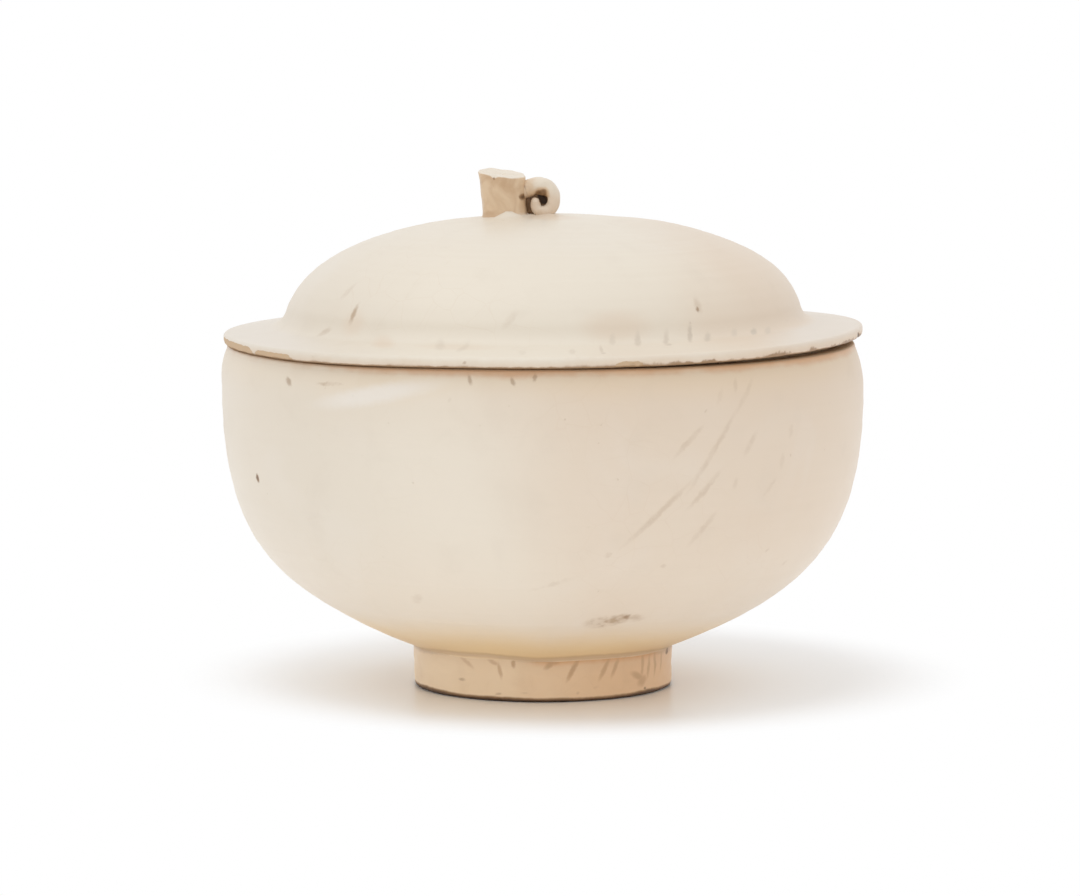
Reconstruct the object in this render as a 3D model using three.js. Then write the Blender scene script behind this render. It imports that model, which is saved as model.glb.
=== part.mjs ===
// Covered bowl: a thrown bowl on a turned foot ring, closed by a domed cover that lifts off.
// The cover has a flat flange that sits on the lip, a collar that keeps it centred in the mouth,
// and a cut fruit stalk with a curling tendril as its knob.
// Millimetres, +Z up. The origin is at the centre of the face that the foot stands on.

import * as THREE from "three";

// Foot ring
const footRadius = 28.5; // outside, where it meets the bowl
const footHeight = 9.2;
const footWall = 5.5; // thickness of the ring
const footTaper = 0.4; // how far the outside draws in towards the table
const footBevel = 0.8; // trimmed edges of the standing face

// Bowl
const bellyRadius = 70; // widest outside radius
const bellyRise = 55.8; // from the top of the foot up to the widest level
const mouthRise = 10.4; // from the widest level up to the lip
const mouthInset = 2; // how far the lip draws in from the widest radius
const undersideSlope = THREE.MathUtils.degToRad(21.4); // rise of the wall where it leaves the foot
const undersideFullness = 0.87; // length of the underside's straighter run, as a share of the wall's reach
const bellyFullness = 0.53; // length of the upright run, as a share of the wall's rise
const wallThickness = 4.2; // at the widest level
const heelThickness = 6.5; // where the wall leaves the foot
const floorDip = 1.5; // how far the middle of the floor lies below the heel
const lipThickness = 3.6;
const lipRounding = 1;

// Cover
const coverSeatGap = 0.3; // between the lip and the underside of the cover
const flangeOverhang = 1.6; // how far the flange stands out past the lip
const flangeWidth = 12.7; // from the edge of the flange in to the dome
const flangeThickness = 2.3; // at its edge
const flangeRise = 1.7; // how far the flange climbs from its edge to the dome
const flangeRounding = 0.9;
const domeRise = 23.1; // from the inner edge of the flange up to the crown
const domeLean = THREE.MathUtils.degToRad(16.7); // inward lean of the dome where it leaves the flange
const domeSideFullness = 0.34; // length of the steep side, as a share of the dome's rise
const domeCrownFullness = 0.8; // length of the flat crown, as a share of the dome's radius
const domeFillet = 2; // reach of the hollow between flange and dome
const coverWall = 3.8;

// Collar under the cover
const collarClearance = 0.8; // all round, inside the mouth
const collarThickness = 3;
const collarDepth = 7;
const collarBevel = 0.7;

// Stalk
const stalkOffset = -8.2; // along X from the axis of the bowl, at its base
const stalkHeight = 8.8; // from the dome to the middle of the cut end
const stalkBaseRadius = 4.85;
const stalkNeckRadius = 4.75;
const stalkTopRadius = 5.05;
const stalkNeckLevel = 0.3; // share of the height at which the stalk is slimmest
const stalkLean = THREE.MathUtils.degToRad(4.5); // away from the tendril
const stalkCutSide = THREE.MathUtils.degToRad(5.5); // the cut end falls towards the tendril
const stalkCutFront = THREE.MathUtils.degToRad(4.8); // and towards the front

// Tendril
const luteGap = 0.3; // between the dome and what is stuck to it, and between stalk and tendril
const tendrilRootRadius = 1.85;
const tendrilTipRadius = 1;
const tendrilLevel = 0.64; // share of the stalk's height at which the tendril leaves it
const tendrilLead = 0.6; // straight run out of the stalk
const curlStandoff = 3.8; // from the side of the stalk to the middle of the curl
const curlOuterRadius = 2.75; // of the tendril's middle line where the curl begins
const curlInnerRadius = 1.75; // and where it ends
const curlBegins = THREE.MathUtils.degToRad(105); // direction from the middle of the curl, up from +X
const curlTurn = THREE.MathUtils.degToRad(276); // clockwise, seen from the front
const curlDrift = 1.8; // how far the curl comes forward on its way to the tip

// A rounded edge takes at most this share of the wall that it is on
const mostRounding = 0.4;

// Fineness of the round forms
const turnedSegments = 60;
const stalkSides = 24;
const stalkRings = 6;
const tendrilSides = 10;
const tendrilSteps = 34;
const curlPoints = 12;

const glaze = { color: 0xe6d8c8, roughness: 0.32, metalness: 0 };
const stainedGlaze = { color: 0xd4b998, roughness: 0.4, metalness: 0 };
const bareClay = { color: 0xcdb79c, roughness: 0.8, metalness: 0 };

const point = (radius, height) => new THREE.Vector2(radius, height);
const line = (from, to) => [new THREE.LineCurve(from, to), 1];
const rounded = (from, corner, to, steps) => [new THREE.QuadraticBezierCurve(from, corner, to), steps];

// Joins stretches of outline, each a curve and its number of steps, into one list of points.
function outline(...stretches) {
  const points = stretches.flatMap(([curve, steps]) => curve.getPoints(steps));
  const leastStep = 1e-6;
  return points.filter((p, i) => i === 0 || p.distanceTo(points[i - 1]) > leastStep);
}

// Turns an outline about the Z axis.
function turned(points) {
  return new THREE.LatheGeometry(points, turnedSegments).rotateX(Math.PI / 2);
}

// Closes a stack of rings, each with the same number of points, with a fan of triangles at either end.
// The rings run anticlockwise as seen from the end of the stack.
function stacked(rings, firstCentre, lastCentre) {
  const sides = rings[0].length;
  const vertices = [...rings.flat(), firstCentre, lastCentre];
  const first = vertices.length - 2;
  const last = vertices.length - 1;
  const top = (rings.length - 1) * sides;
  const faces = [];
  for (let side = 0; side < sides; side++) {
    const next = (side + 1) % sides;
    faces.push(first, next, side, last, top + side, top + next);
    for (let ring = 0; ring < rings.length - 1; ring++) {
      const low = ring * sides;
      const high = low + sides;
      faces.push(low + side, low + next, high + next, low + side, high + next, high + side);
    }
  }
  const geometry = new THREE.BufferGeometry().setFromPoints(vertices);
  geometry.setIndex(faces);
  geometry.computeVertexNormals();
  return geometry;
}

function piece(name, geometry, finish) {
  const mesh = new THREE.Mesh(geometry, new THREE.MeshStandardMaterial(finish));
  mesh.name = name;
  return mesh;
}

// Foot ring, from the table up to the underside of the bowl.
function footRing() {
  const inside = footRadius - footWall;
  const base = footRadius - footTaper;
  const bevel = Math.min(footBevel, footWall * mostRounding);
  const around = [
    point(inside + bevel, 0),
    point(base - bevel, 0),
    point(base, bevel),
    point(footRadius, footHeight),
    point(inside, footHeight),
    point(inside, bevel),
  ];
  return turned([...around, around[0]]);
}

// Bowl, from its flat underside at height 0. The inside follows the outside at the thickness of the wall.
const lipRadius = bellyRadius - mouthInset;
const lipHeight = bellyRise + mouthRise;
const mouthRadius = lipRadius - lipThickness;

function wallCurve(from, to) {
  const reach = undersideFullness * (to.x - from.x);
  const upright = bellyFullness * (to.y - from.y);
  const low = point(from.x + reach * Math.cos(undersideSlope), from.y + reach * Math.sin(undersideSlope));
  return new THREE.CubicBezierCurve(from, low, point(to.x, to.y - upright), to);
}

const mouthCurve = (from, to) =>
  new THREE.QuadraticBezierCurve(from, point(from.x, (from.y + to.y) / 2), to);

function bowlBody() {
  const wallSteps = 10;
  const mouthSteps = 3;
  const lipSteps = 2;
  const floorSteps = 4;
  const round = Math.min(lipRounding, lipThickness * mostRounding);
  const foot = point(footRadius, 0);
  const belly = point(bellyRadius, bellyRise);
  const lipOuter = point(lipRadius, lipHeight - round);
  const landOuter = point(lipRadius - round, lipHeight);
  const landInner = point(mouthRadius + round, lipHeight);
  const lipInner = point(mouthRadius, lipHeight - round);
  const innerBelly = point(bellyRadius - wallThickness, bellyRise);
  const heel = point(
    footRadius - heelThickness * Math.sin(undersideSlope),
    heelThickness * Math.cos(undersideSlope),
  );
  const floorHeight = heel.y - floorDip;
  const floorEdge = point(heel.x - floorDip / Math.tan(undersideSlope), floorHeight);
  const innerWall = wallCurve(heel, innerBelly).getPoints(wallSteps).reverse();
  const innerMouth = mouthCurve(innerBelly, lipInner).getPoints(mouthSteps).reverse();
  const outside = outline(
    line(point(0, 0), foot),
    [wallCurve(foot, belly), wallSteps],
    [mouthCurve(belly, lipOuter), mouthSteps],
    rounded(lipOuter, point(lipRadius, lipHeight), landOuter, lipSteps),
    line(landOuter, landInner),
    rounded(landInner, point(mouthRadius, lipHeight), lipInner, lipSteps),
  );
  const floor = outline(rounded(heel, floorEdge, point(0, floorHeight), floorSteps));
  return turned([...outside, ...innerMouth.slice(1), ...innerWall.slice(1), ...floor.slice(1)]);
}

// Cover, from its flat underside at height 0.
const flangeRadius = lipRadius + flangeOverhang;
const domeRadius = flangeRadius - flangeWidth;
const flangeRoot = point(domeRadius, flangeThickness + flangeRise);
const domeStart = point(
  flangeRoot.x - domeFillet * Math.sin(domeLean),
  flangeRoot.y + domeFillet * Math.cos(domeLean),
);
const crown = point(0, flangeRoot.y + domeRise);

function domeCurve(from, to) {
  const side = domeSideFullness * (to.y - from.y);
  const leaning = point(from.x - side * Math.sin(domeLean), from.y + side * Math.cos(domeLean));
  return new THREE.CubicBezierCurve(from, leaning, point(from.x * domeCrownFullness, to.y), to);
}

const domeOutside = domeCurve(domeStart, crown);

// Height of the dome's outside over a place on the cover,
// found by halving the stretch of curve that holds it.
function domeHeight(x, y) {
  const halvings = 40;
  const radius = Math.hypot(x, y);
  let near = 0;
  let far = 1;
  for (let i = 0; i < halvings; i++) {
    const middle = (near + far) / 2;
    if (domeOutside.getPoint(middle).x > radius) near = middle;
    else far = middle;
  }
  return domeOutside.getPoint(near).y;
}

function coverShell() {
  const domeSteps = 10;
  const filletSteps = 3;
  const edgeSteps = 2;
  const round = Math.min(flangeRounding, flangeThickness * mostRounding);
  const edgeLow = point(flangeRadius, round);
  const edgeHigh = point(flangeRadius, flangeThickness - round);
  const underEdge = point(flangeRadius - round, 0);
  const topEdge = point(flangeRadius - round, flangeThickness);
  const climb = (flangeRoot.y - topEdge.y) / (topEdge.x - flangeRoot.x);
  const filletStart = point(flangeRoot.x + domeFillet, flangeRoot.y - domeFillet * climb);
  const innerStart = point(
    domeStart.x - coverWall * Math.cos(domeLean),
    domeStart.y - coverWall * Math.sin(domeLean),
  );
  const throat = point(innerStart.x + innerStart.y * Math.tan(domeLean), 0);
  const inside = domeCurve(innerStart, point(0, crown.y - coverWall)).getPoints(domeSteps);
  const outside = outline(
    line(throat, underEdge),
    rounded(underEdge, point(flangeRadius, 0), edgeLow, edgeSteps),
    line(edgeLow, edgeHigh),
    rounded(edgeHigh, point(flangeRadius, flangeThickness), topEdge, edgeSteps),
    line(topEdge, filletStart),
    rounded(filletStart, flangeRoot, domeStart, filletSteps),
    [domeOutside, domeSteps],
  );
  const reversed = [...inside.reverse(), throat];
  return turned([...reversed, ...outside.slice(1)]);
}

// Collar, hanging from the underside of the cover into the mouth of the bowl.
function locatingCollar() {
  const outer = mouthRadius - collarClearance;
  const inner = outer - collarThickness;
  const bevel = Math.min(collarBevel, collarThickness * mostRounding);
  const around = [
    point(inner + bevel, -collarDepth),
    point(outer - bevel, -collarDepth),
    point(outer, bevel - collarDepth),
    point(outer, 0),
    point(inner, 0),
    point(inner, bevel - collarDepth),
  ];
  return turned([...around, around[0]]);
}

// Stalk, in the cover's own frame. Its base follows the dome and its end is cut at a slant.
const stalkProfile = new THREE.SplineCurve([
  point(stalkBaseRadius, 0),
  point(stalkNeckRadius, stalkNeckLevel),
  point(stalkTopRadius, 1),
]);
const stalkSeat = domeHeight(stalkOffset, 0) + luteGap;

function stalkPoint(radius, angle, share) {
  const across = radius * Math.cos(angle);
  const deep = radius * Math.sin(angle);
  const base = domeHeight(stalkOffset + across, deep) + luteGap;
  const cut = stalkSeat + stalkHeight - across * Math.tan(stalkCutSide) + deep * Math.tan(stalkCutFront);
  const rise = (cut - base) * share;
  return new THREE.Vector3(stalkOffset + across - rise * Math.tan(stalkLean), deep, base + rise);
}

function stalkKnob() {
  const rings = [];
  for (let ring = 0; ring <= stalkRings; ring++) {
    const { x: radius, y: share } = stalkProfile.getPoint(ring / stalkRings);
    const angles = Array.from({ length: stalkSides }, (_, side) => (2 * Math.PI * side) / stalkSides);
    rings.push(angles.map((angle) => stalkPoint(radius, angle, share)));
  }
  return stacked(rings, stalkPoint(0, 0, 0), stalkPoint(0, 0, 1));
}

// Tendril: it leaves the side of the stalk, arches over and curls in on itself, lying on the dome.
function tendrilRadius(share) {
  return THREE.MathUtils.lerp(tendrilRootRadius, tendrilTipRadius, share);
}

function tendrilPath() {
  const rise = stalkHeight * tendrilLevel;
  const level = stalkSeat + rise;
  const widest = Math.max(stalkTopRadius, stalkNeckRadius);
  const stalkSide = stalkOffset + widest - rise * Math.tan(stalkLean);
  const root = new THREE.Vector3(stalkSide + luteGap, 0, level);
  const shoulder = new THREE.Vector3(root.x + tendrilLead, 0, level);
  const middleX = stalkSide + curlStandoff;
  const lowShare = (curlBegins + Math.PI / 2) / curlTurn;
  const lowRadius = THREE.MathUtils.lerp(curlOuterRadius, curlInnerRadius, lowShare);
  const seat = domeHeight(middleX, -curlDrift * lowShare) + luteGap;
  const middleZ = seat + tendrilRadius(lowShare) + lowRadius;
  const points = [root, shoulder];
  for (let i = 0; i <= curlPoints; i++) {
    const share = i / curlPoints;
    const angle = curlBegins - share * curlTurn;
    const radius = THREE.MathUtils.lerp(curlOuterRadius, curlInnerRadius, share);
    const x = middleX + radius * Math.cos(angle);
    const z = middleZ + radius * Math.sin(angle);
    points.push(new THREE.Vector3(x, -curlDrift * share, z));
  }
  return new THREE.CatmullRomCurve3(points);
}

function tendrilCurl() {
  const path = tendrilPath();
  const { normals, binormals } = path.computeFrenetFrames(tendrilSteps);
  const rings = normals.map((normal, step) => {
    const share = step / tendrilSteps;
    const centre = path.getPointAt(share);
    const radius = tendrilRadius(share);
    return Array.from({ length: tendrilSides }, (_, side) => {
      const angle = (2 * Math.PI * side) / tendrilSides;
      const out = normal.clone().multiplyScalar(Math.cos(angle));
      out.addScaledVector(binormals[step], Math.sin(angle));
      return centre.clone().addScaledVector(out, radius);
    });
  });
  return stacked(rings, path.getPointAt(0), path.getPointAt(1));
}

const coveredBowl = new THREE.Group();
coveredBowl.add(piece("foot_ring", footRing(), stainedGlaze));

const bowl = piece("bowl_body", bowlBody(), glaze);
bowl.position.z = footHeight;
coveredBowl.add(bowl);

const cover = new THREE.Group();
cover.position.z = footHeight + lipHeight + coverSeatGap;
cover.add(piece("cover_shell", coverShell(), glaze));
cover.add(piece("locating_collar", locatingCollar(), bareClay));
cover.add(piece("stalk_knob", stalkKnob(), stainedGlaze));
cover.add(piece("tendril_curl", tendrilCurl(), stainedGlaze));
coveredBowl.add(cover);

export default coveredBowl;
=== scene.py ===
"""Covered bowl: aged ivory glaze, cut-stalk knob and studio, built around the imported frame."""
import math
from typing import NamedTuple

import bpy
import numpy as np
from bpy.props import FloatProperty, FloatVectorProperty, PointerProperty
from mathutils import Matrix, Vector


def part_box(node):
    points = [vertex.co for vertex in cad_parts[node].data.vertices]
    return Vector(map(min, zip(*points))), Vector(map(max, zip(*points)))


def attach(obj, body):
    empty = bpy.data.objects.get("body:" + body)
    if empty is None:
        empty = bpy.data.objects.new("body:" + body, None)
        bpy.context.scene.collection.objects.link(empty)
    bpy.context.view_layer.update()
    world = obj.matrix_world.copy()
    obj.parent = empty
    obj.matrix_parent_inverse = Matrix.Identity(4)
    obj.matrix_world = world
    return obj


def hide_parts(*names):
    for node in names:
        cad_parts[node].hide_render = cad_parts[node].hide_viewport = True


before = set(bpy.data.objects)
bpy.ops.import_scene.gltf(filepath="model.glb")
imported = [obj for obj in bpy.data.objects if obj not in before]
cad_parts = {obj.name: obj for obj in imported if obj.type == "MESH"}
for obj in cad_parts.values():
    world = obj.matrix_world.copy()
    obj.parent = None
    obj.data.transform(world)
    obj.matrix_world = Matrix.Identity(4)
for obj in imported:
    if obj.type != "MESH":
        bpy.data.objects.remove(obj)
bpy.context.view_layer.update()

bl_info = {
    "name": "Covered bowl",
    "version": (1, 0, 0),
    "blender": (4, 5, 0),
    "location": "3D View > Sidebar > Covered bowl",
    "description": "Ivory glazed bowl with a domed cover, a cut-stalk knob and a curling tendril",
    "category": "Object",
}

MM = 0.001

_, FOOT_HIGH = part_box("foot_ring")
_, BOWL_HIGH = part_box("bowl_body")
COVER_LOW, COVER_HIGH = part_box("cover_shell")
COLLAR_LOW, COLLAR_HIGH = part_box("locating_collar")


# Settings that a user would change

def size(name, description, default):
    """A length in metres."""
    return FloatProperty(name=name, description=description, default=default, unit="LENGTH", precision=5)


def turn(name, description, degrees):
    """An angle, given in degrees."""
    return FloatProperty(name=name, description=description, default=math.radians(degrees), subtype="ANGLE")


def power(name, description, default):
    """The power of a lamp."""
    return FloatProperty(name=name, description=description, default=default, subtype="POWER")


def colour(name, description, default):
    """A linear colour."""
    return FloatVectorProperty(name=name, description=description, default=default, subtype="COLOR", max=1.0)


class FootSizes(bpy.types.PropertyGroup):
    """The ring that the bowl stands on."""

    radius: size("Radius", "Outside, where it meets the bowl", FOOT_HIGH.x)
    height: size("Height", "From the table to the bowl", FOOT_HIGH.z)
    wall: size("Wall", "Thickness of the ring", 5.5 * MM)
    taper: size("Taper", "How far the outside draws in towards the table", 0.4 * MM)
    bevel: size("Bevel", "Worn edges of the standing face", 0.8 * MM)
    unevenness: size("Unevenness", "How far the outside wanders", 0.09 * MM)
    nicks: size("Nicks", "Depth of the nicks along the standing edge", 0.5 * MM)


class BowlSizes(bpy.types.PropertyGroup):
    """The thrown bowl."""

    belly_radius: size("Belly radius", "Widest outside radius", BOWL_HIGH.x)
    belly_height: size("Belly height", "Level of the widest radius", 65.0 * MM)
    lip_height: size("Lip height", "Level of the lip", BOWL_HIGH.z)
    lip_radius: size("Lip radius", "Outside radius at the lip", 68.0 * MM)
    lip_thickness: size("Lip thickness", "Width of the lip", 3.6 * MM)
    lip_rounding: size("Lip rounding", "Rounded edges of the lip", 1.0 * MM)
    wall: size("Wall", "Thickness at the belly", 4.2 * MM)
    heel: size("Heel", "Thickness where the wall leaves the foot", 6.5 * MM)
    floor_dip: size("Floor dip", "How far the middle of the floor lies below the heel", 1.5 * MM)
    underside_slope: turn("Underside slope", "Rise of the wall where it leaves the foot", 21.4)
    fillet: size("Fillet", "Reach of the glaze that fills the corner above the foot", 2.2 * MM)
    skirt: size("Skirt", "How far that glaze runs down the foot", 0.5 * MM)
    unevenness: size("Unevenness", "How far the thrown wall wanders", 0.16 * MM)
    ring_height: size("Rings", "Height of the throwing rings", 0.035 * MM)
    lip_waves: size("Lip waves", "How far the lip goes up and down", 0.05 * MM)
    rim_sag: size("Rim sag", "How far the rim, and the cover on it, sag towards -X", 0.43 * MM)
    rim_swell: size("Rim swell", "How far the rim stands out towards -X", 0.9 * MM)


class CoverSizes(bpy.types.PropertyGroup):
    """The domed cover with its flange, and the collar under it."""

    flange_radius: size("Flange radius", "Outside radius", COVER_HIGH.x)
    seat_height: size("Seat height", "Level of the flat underside", COVER_LOW.z)
    crown_height: size("Crown height", "Level of the top of the dome", COVER_HIGH.z)
    flange_width: size("Flange width", "From the edge in to the dome", 12.7 * MM)
    flange_thickness: size("Flange thickness", "At the edge", 2.3 * MM)
    flange_rise: size("Flange rise", "How far the flange climbs to the dome", 1.7 * MM)
    flange_rounding: size("Flange rounding", "Rounded edges of the flange", 0.9 * MM)
    dome_lean: turn("Dome lean", "Inward lean of the dome where it leaves the flange", 16.7)
    dome_fillet: size("Dome fillet", "Reach of the hollow between flange and dome", 3.0 * MM)
    wall: size("Wall", "Thickness of the dome", 3.8 * MM)
    warp_lift: size("Warp lift", "How far the warped flange rides above its seat, at the middle", 0.05 * MM)
    settling: size("Settling", "How much of its clearance the cover has worn away", 0.12 * MM)
    warp_sway: size("Warp sway", "How far firing carried the crown towards +X", 0.9 * MM)
    collar_radius: size("Collar radius", "Outside radius of the ring under the cover", COLLAR_HIGH.x)
    collar_foot: size("Collar foot", "Level of the lower edge of that ring", COLLAR_LOW.z)
    collar_thickness: size("Collar thickness", "Thickness of that ring", 3.0 * MM)
    collar_bevel: size("Collar bevel", "Rounded lower edges of that ring", 0.7 * MM)
    collar_unevenness: size("Collar unevenness", "How far its sides wander", 0.06 * MM)
    unevenness: size("Unevenness", "How far the thrown wall wanders", 0.14 * MM)
    ring_height: size("Rings", "Height of the turning rings", 0.03 * MM)
    flange_waves: size("Flange waves", "How far the flange goes up and down", 0.07 * MM)


class KnobSizes(bpy.types.PropertyGroup):
    """The cut stalk and its tendril."""

    stalk_x: size("Stalk place", "Along X from the axis, at the base", -8.2 * MM)
    stalk_height: size("Stalk height", "From the dome to the middle of the cut end", 9.35 * MM)
    stalk_base: size("Stalk base", "Radius at the base", 4.85 * MM)
    stalk_neck: size("Stalk neck", "Slimmest radius", 4.75 * MM)
    stalk_top: size("Stalk top", "Radius at the cut end", 5.05 * MM)
    stalk_lean: turn("Stalk lean", "Away from the tendril", 4.5)
    cut_side: turn("Cut, sideways", "How far the cut end falls towards the tendril", 5.5)
    cut_front: turn("Cut, forwards", "How far the cut end falls towards the front", 7.0)
    curl_thickness: size("Curl thickness", "Radius of the tendril over its arch", 1.95 * MM)
    curl_drift: size("Curl drift", "How far the curl comes forward on its way to the tip", 1.7 * MM)


class GlazeColours(bpy.types.PropertyGroup):
    """Colours of the glaze, the clay and the stains, all linear."""

    ivory: colour("Ivory", "Main colour of the glaze", (0.82, 0.745, 0.63))
    blush: colour("Blush", "Warmer glaze of the side that faced the fire", (0.76, 0.632, 0.502))
    pale: colour("Pale", "Thicker, whiter patches of the glaze", (0.825, 0.77, 0.70))
    cloud: colour("Cloud", "Greyish stains in the glaze", (0.62, 0.53, 0.43))
    pooled: colour("Pooled", "Yellowish glaze that has run together", (0.80, 0.59, 0.325))
    biscuit: colour("Biscuit", "Thin glaze of the foot", (0.86, 0.68, 0.475))
    toasted: colour("Toasted", "Thin glaze of the foot on the side that faced the fire", (0.76, 0.51, 0.305))
    tan: colour("Tan", "Tan stains near the rim and on the foot", (0.60, 0.41, 0.25))
    rust: colour("Rust", "Orange-brown of the stained rim", (0.62, 0.30, 0.115))
    # Umber and grime also paint shade: in the knob's hollows, under its arch, at the foot's standing edge and
    # in the gap under the flange's edge.
    umber: colour("Umber", "Brown of half-soiled places", (0.30, 0.17, 0.08))
    grime_and_shade: colour("Grime", "Dark dirt in hollows and at edges", (0.05, 0.021, 0.007))
    clay: colour("Clay", "Bare fired clay", (0.56, 0.41, 0.26))
    scratch: colour("Scratch", "Stained scratches", (0.42, 0.28, 0.165))


class StudioSettings(bpy.types.PropertyGroup):
    """Camera and light."""

    lens: FloatProperty(name="Lens", description="Focal length in mm on a 36 mm sensor", default=175.8)
    camera_side: size("Camera side", "Along X from the axis", -0.65 * MM)
    camera_back: size("Camera back", "In front of the axis", 1146.7 * MM)
    camera_height: size("Camera height", "Above the table", 177.2 * MM)
    aim_height: size("Aim height", "Level on the axis that the camera looks at", 51.8 * MM)
    sky: FloatProperty(name="Sky", description="Strength of the even light from all round", default=0.90)
    lamp_power: power("Lamp", "Power of the overhead lamp", 2.3)
    table_power: power("Table", "Power of the light table", 0.18)
    lamp_width: size("Lamp width", "Side of the overhead lamp", 1.2)
    table_width: size("Table width", "Side of the light table", 0.6)
    floor_reach: size("Floor reach", "How far from the axis the floor keeps its shading", 0.09)


class CoveredBowlSettings(bpy.types.PropertyGroup):
    """All settings of the covered bowl."""

    foot: PointerProperty(type=FootSizes)
    bowl: PointerProperty(type=BowlSizes)
    cover: PointerProperty(type=CoverSizes)
    knob: PointerProperty(type=KnobSizes)
    colours: PointerProperty(type=GlazeColours)
    studio: PointerProperty(type=StudioSettings)


# Curves and surfaces

UNDERSIDE_FULLNESS = 0.87  # straighter run of the bowl's underside, as a share of the wall's reach
BELLY_FULLNESS = 0.53  # upright run of the bowl's wall, as a share of its rise
DOME_SIDE_FULLNESS = 0.34  # steep side of the dome, as a share of its rise
DOME_CROWN_FULLNESS = 0.8  # flat crown of the dome, as a share of its radius
RING_DRIFT = 0.15  # how far the rings of throwing and turning are out of true


def bezier(steps, *controls):
    """Points along a Bezier curve: its control points, mixed pair by pair until one is left."""
    share = np.linspace(0.0, 1.0, steps + 1)[:, None]
    level = [np.asarray(control, float) for control in controls]
    while len(level) > 1:
        level = [(1.0 - share) * first + share * second for first, second in zip(level, level[1:])]
    return level[0]


def outline(*stretches):
    """Stretches of a profile joined end to end, without the point that each shares with the one before."""
    return np.vstack([stretches[0], *[stretch[1:] for stretch in stretches[1:]]])


def ring_profile(inner, base, outer, low, top, bevel, steps):
    """Closed profile of a ring with rounded lower edges: under it, up its outside and down its inside.

    The outside goes straight from the radius base at the lower edge to the radius outer at the top. The steps
    are those of the lower face, of the outside and of the inside.
    """
    under, outside, inside = steps
    return outline(
        bezier(under, (inner + bevel, low), (base - bevel, low)),
        bezier(6, (base - bevel, low), (base, low), (base, low + bevel)),
        bezier(outside, (base, low + bevel), (outer, top)),
        bezier(6, (outer, top), (inner, top)),
        bezier(inside, (inner, top), (inner, low + bevel)),
        bezier(6, (inner, low + bevel), (inner, low), (inner + bevel, low))[:-1],
    )


def smooth_step(value, low, high):
    """0 at low, 1 at high and an S-shaped rise between them. High may be the smaller."""
    share = np.clip((value - low) / (high - low), 0.0, 1.0)
    return share * share * (3.0 - 2.0 * share)


def bell(value, middle, width):
    """Bell curve: e to the power of minus the square of the distance from the middle, in widths."""
    return np.exp(-(((value - middle) / width) ** 2))


def wander(angle, along, seed, turns, pitch, waves=14):
    """Smooth unevenness of about 1: a sum of cosines of the angle and of the distance along the profile.

    Each has a whole number of turns round the axis, so the seam closes, and a wavelength near the pitch.
    """
    draw = np.random.default_rng(seed)
    total = 0.0
    for _ in range(waves):
        around = draw.integers(1, turns + 1)
        rate = draw.normal(0.0, 2.0 * math.pi / pitch)
        phase = draw.uniform(0.0, 2.0 * math.pi)
        total = total + np.cos(around * angle + rate * along + phase)
    return total / math.sqrt(waves)


def throwing(sizes, angle, along, seed, swing, pitch):
    """Unevenness of a thrown wall: waves about as long as the swing, plus rings at the pitch."""
    slow = wander(angle, along, seed=seed, turns=4, pitch=swing)
    rings = wander(RING_DRIFT * np.sin(angle), along, seed=seed + 1, turns=1, pitch=pitch)
    return slow * sizes.unevenness + rings * sizes.ring_height


def round_angles(columns):
    """Angles round the axis, measured from the front towards +X, as one row."""
    return np.linspace(-math.pi, math.pi, columns, endpoint=False)[None, :]


def profile_normals(profile):
    """Unit vectors to the right of the profile's run, which is out of the clay."""
    run = np.gradient(profile, axis=0)
    across = np.stack([run[:, 1], -run[:, 0]], axis=1)
    return across / np.linalg.norm(across, axis=1, keepdims=True)


def profile_lengths(profile):
    """Distance along the profile at each of its points."""
    steps = np.linalg.norm(np.diff(profile, axis=0), axis=1)
    return np.concatenate([[0.0], np.cumsum(steps)])


def carried_round(radius, height, angle):
    """Grid of points: the radius and height of each row and column, carried round the axis by the angle."""
    radius, height, angle = np.broadcast_arrays(radius, height, angle)
    return np.stack([radius * np.sin(angle), -radius * np.cos(angle), height], axis=2)


def stored(values, capped):
    """A grid's values in the order of the mesh's vertices: a capped grid's end rows are one vertex each."""
    if not capped:
        return values.reshape(-1, *values.shape[2:])
    middle = values[1:-1].reshape(-1, *values.shape[2:])
    return np.concatenate([middle, values[:1, 0], values[-1:, 0]])


def closed_mesh(name, grid, capped):
    """Closed mesh from a grid whose columns run round and close on themselves.

    A capped grid's first and last row are points, closed by fans. Otherwise the last row joins the first.
    """
    rows, columns = grid.shape[:2]
    column = np.arange(columns)
    following = (column + 1) % columns
    rings = rows - 2 if capped else rows
    low = np.arange(rings - 1 if capped else rings)[:, None] * columns
    high = (low + columns) % (rings * columns)
    faces = np.stack([low + column, low + following, high + following, high + column], axis=2)
    faces = faces.reshape(-1, 4).tolist()
    if capped:
        first = np.full(columns, rings * columns)
        top = (rings - 1) * columns
        faces += np.stack([first, following, column], axis=1).tolist()
        faces += np.stack([first + 1, top + column, top + following], axis=1).tolist()
    mesh = bpy.data.meshes.new(name)
    mesh.from_pydata(stored(grid, capped).tolist(), [], faces)
    mesh.polygons.foreach_set("use_smooth", np.ones(len(faces), bool))
    mesh.update()
    return mesh


def add_piece(name, grid, material, capped, **fields):
    """Object from a grid of points, with its material and one number at each vertex for each named field."""
    mesh = closed_mesh(name, grid, capped)
    for field, values in fields.items():
        numbers = stored(np.broadcast_to(values, grid.shape[:2]), capped)
        attribute = mesh.attributes.new(field, "FLOAT", "POINT")
        attribute.data.foreach_set("value", numbers.astype(np.float32))
    mesh.materials.append(material)
    piece = bpy.data.objects.new(name, mesh)
    bpy.context.scene.collection.objects.link(piece)
    return piece


# Materials

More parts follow.
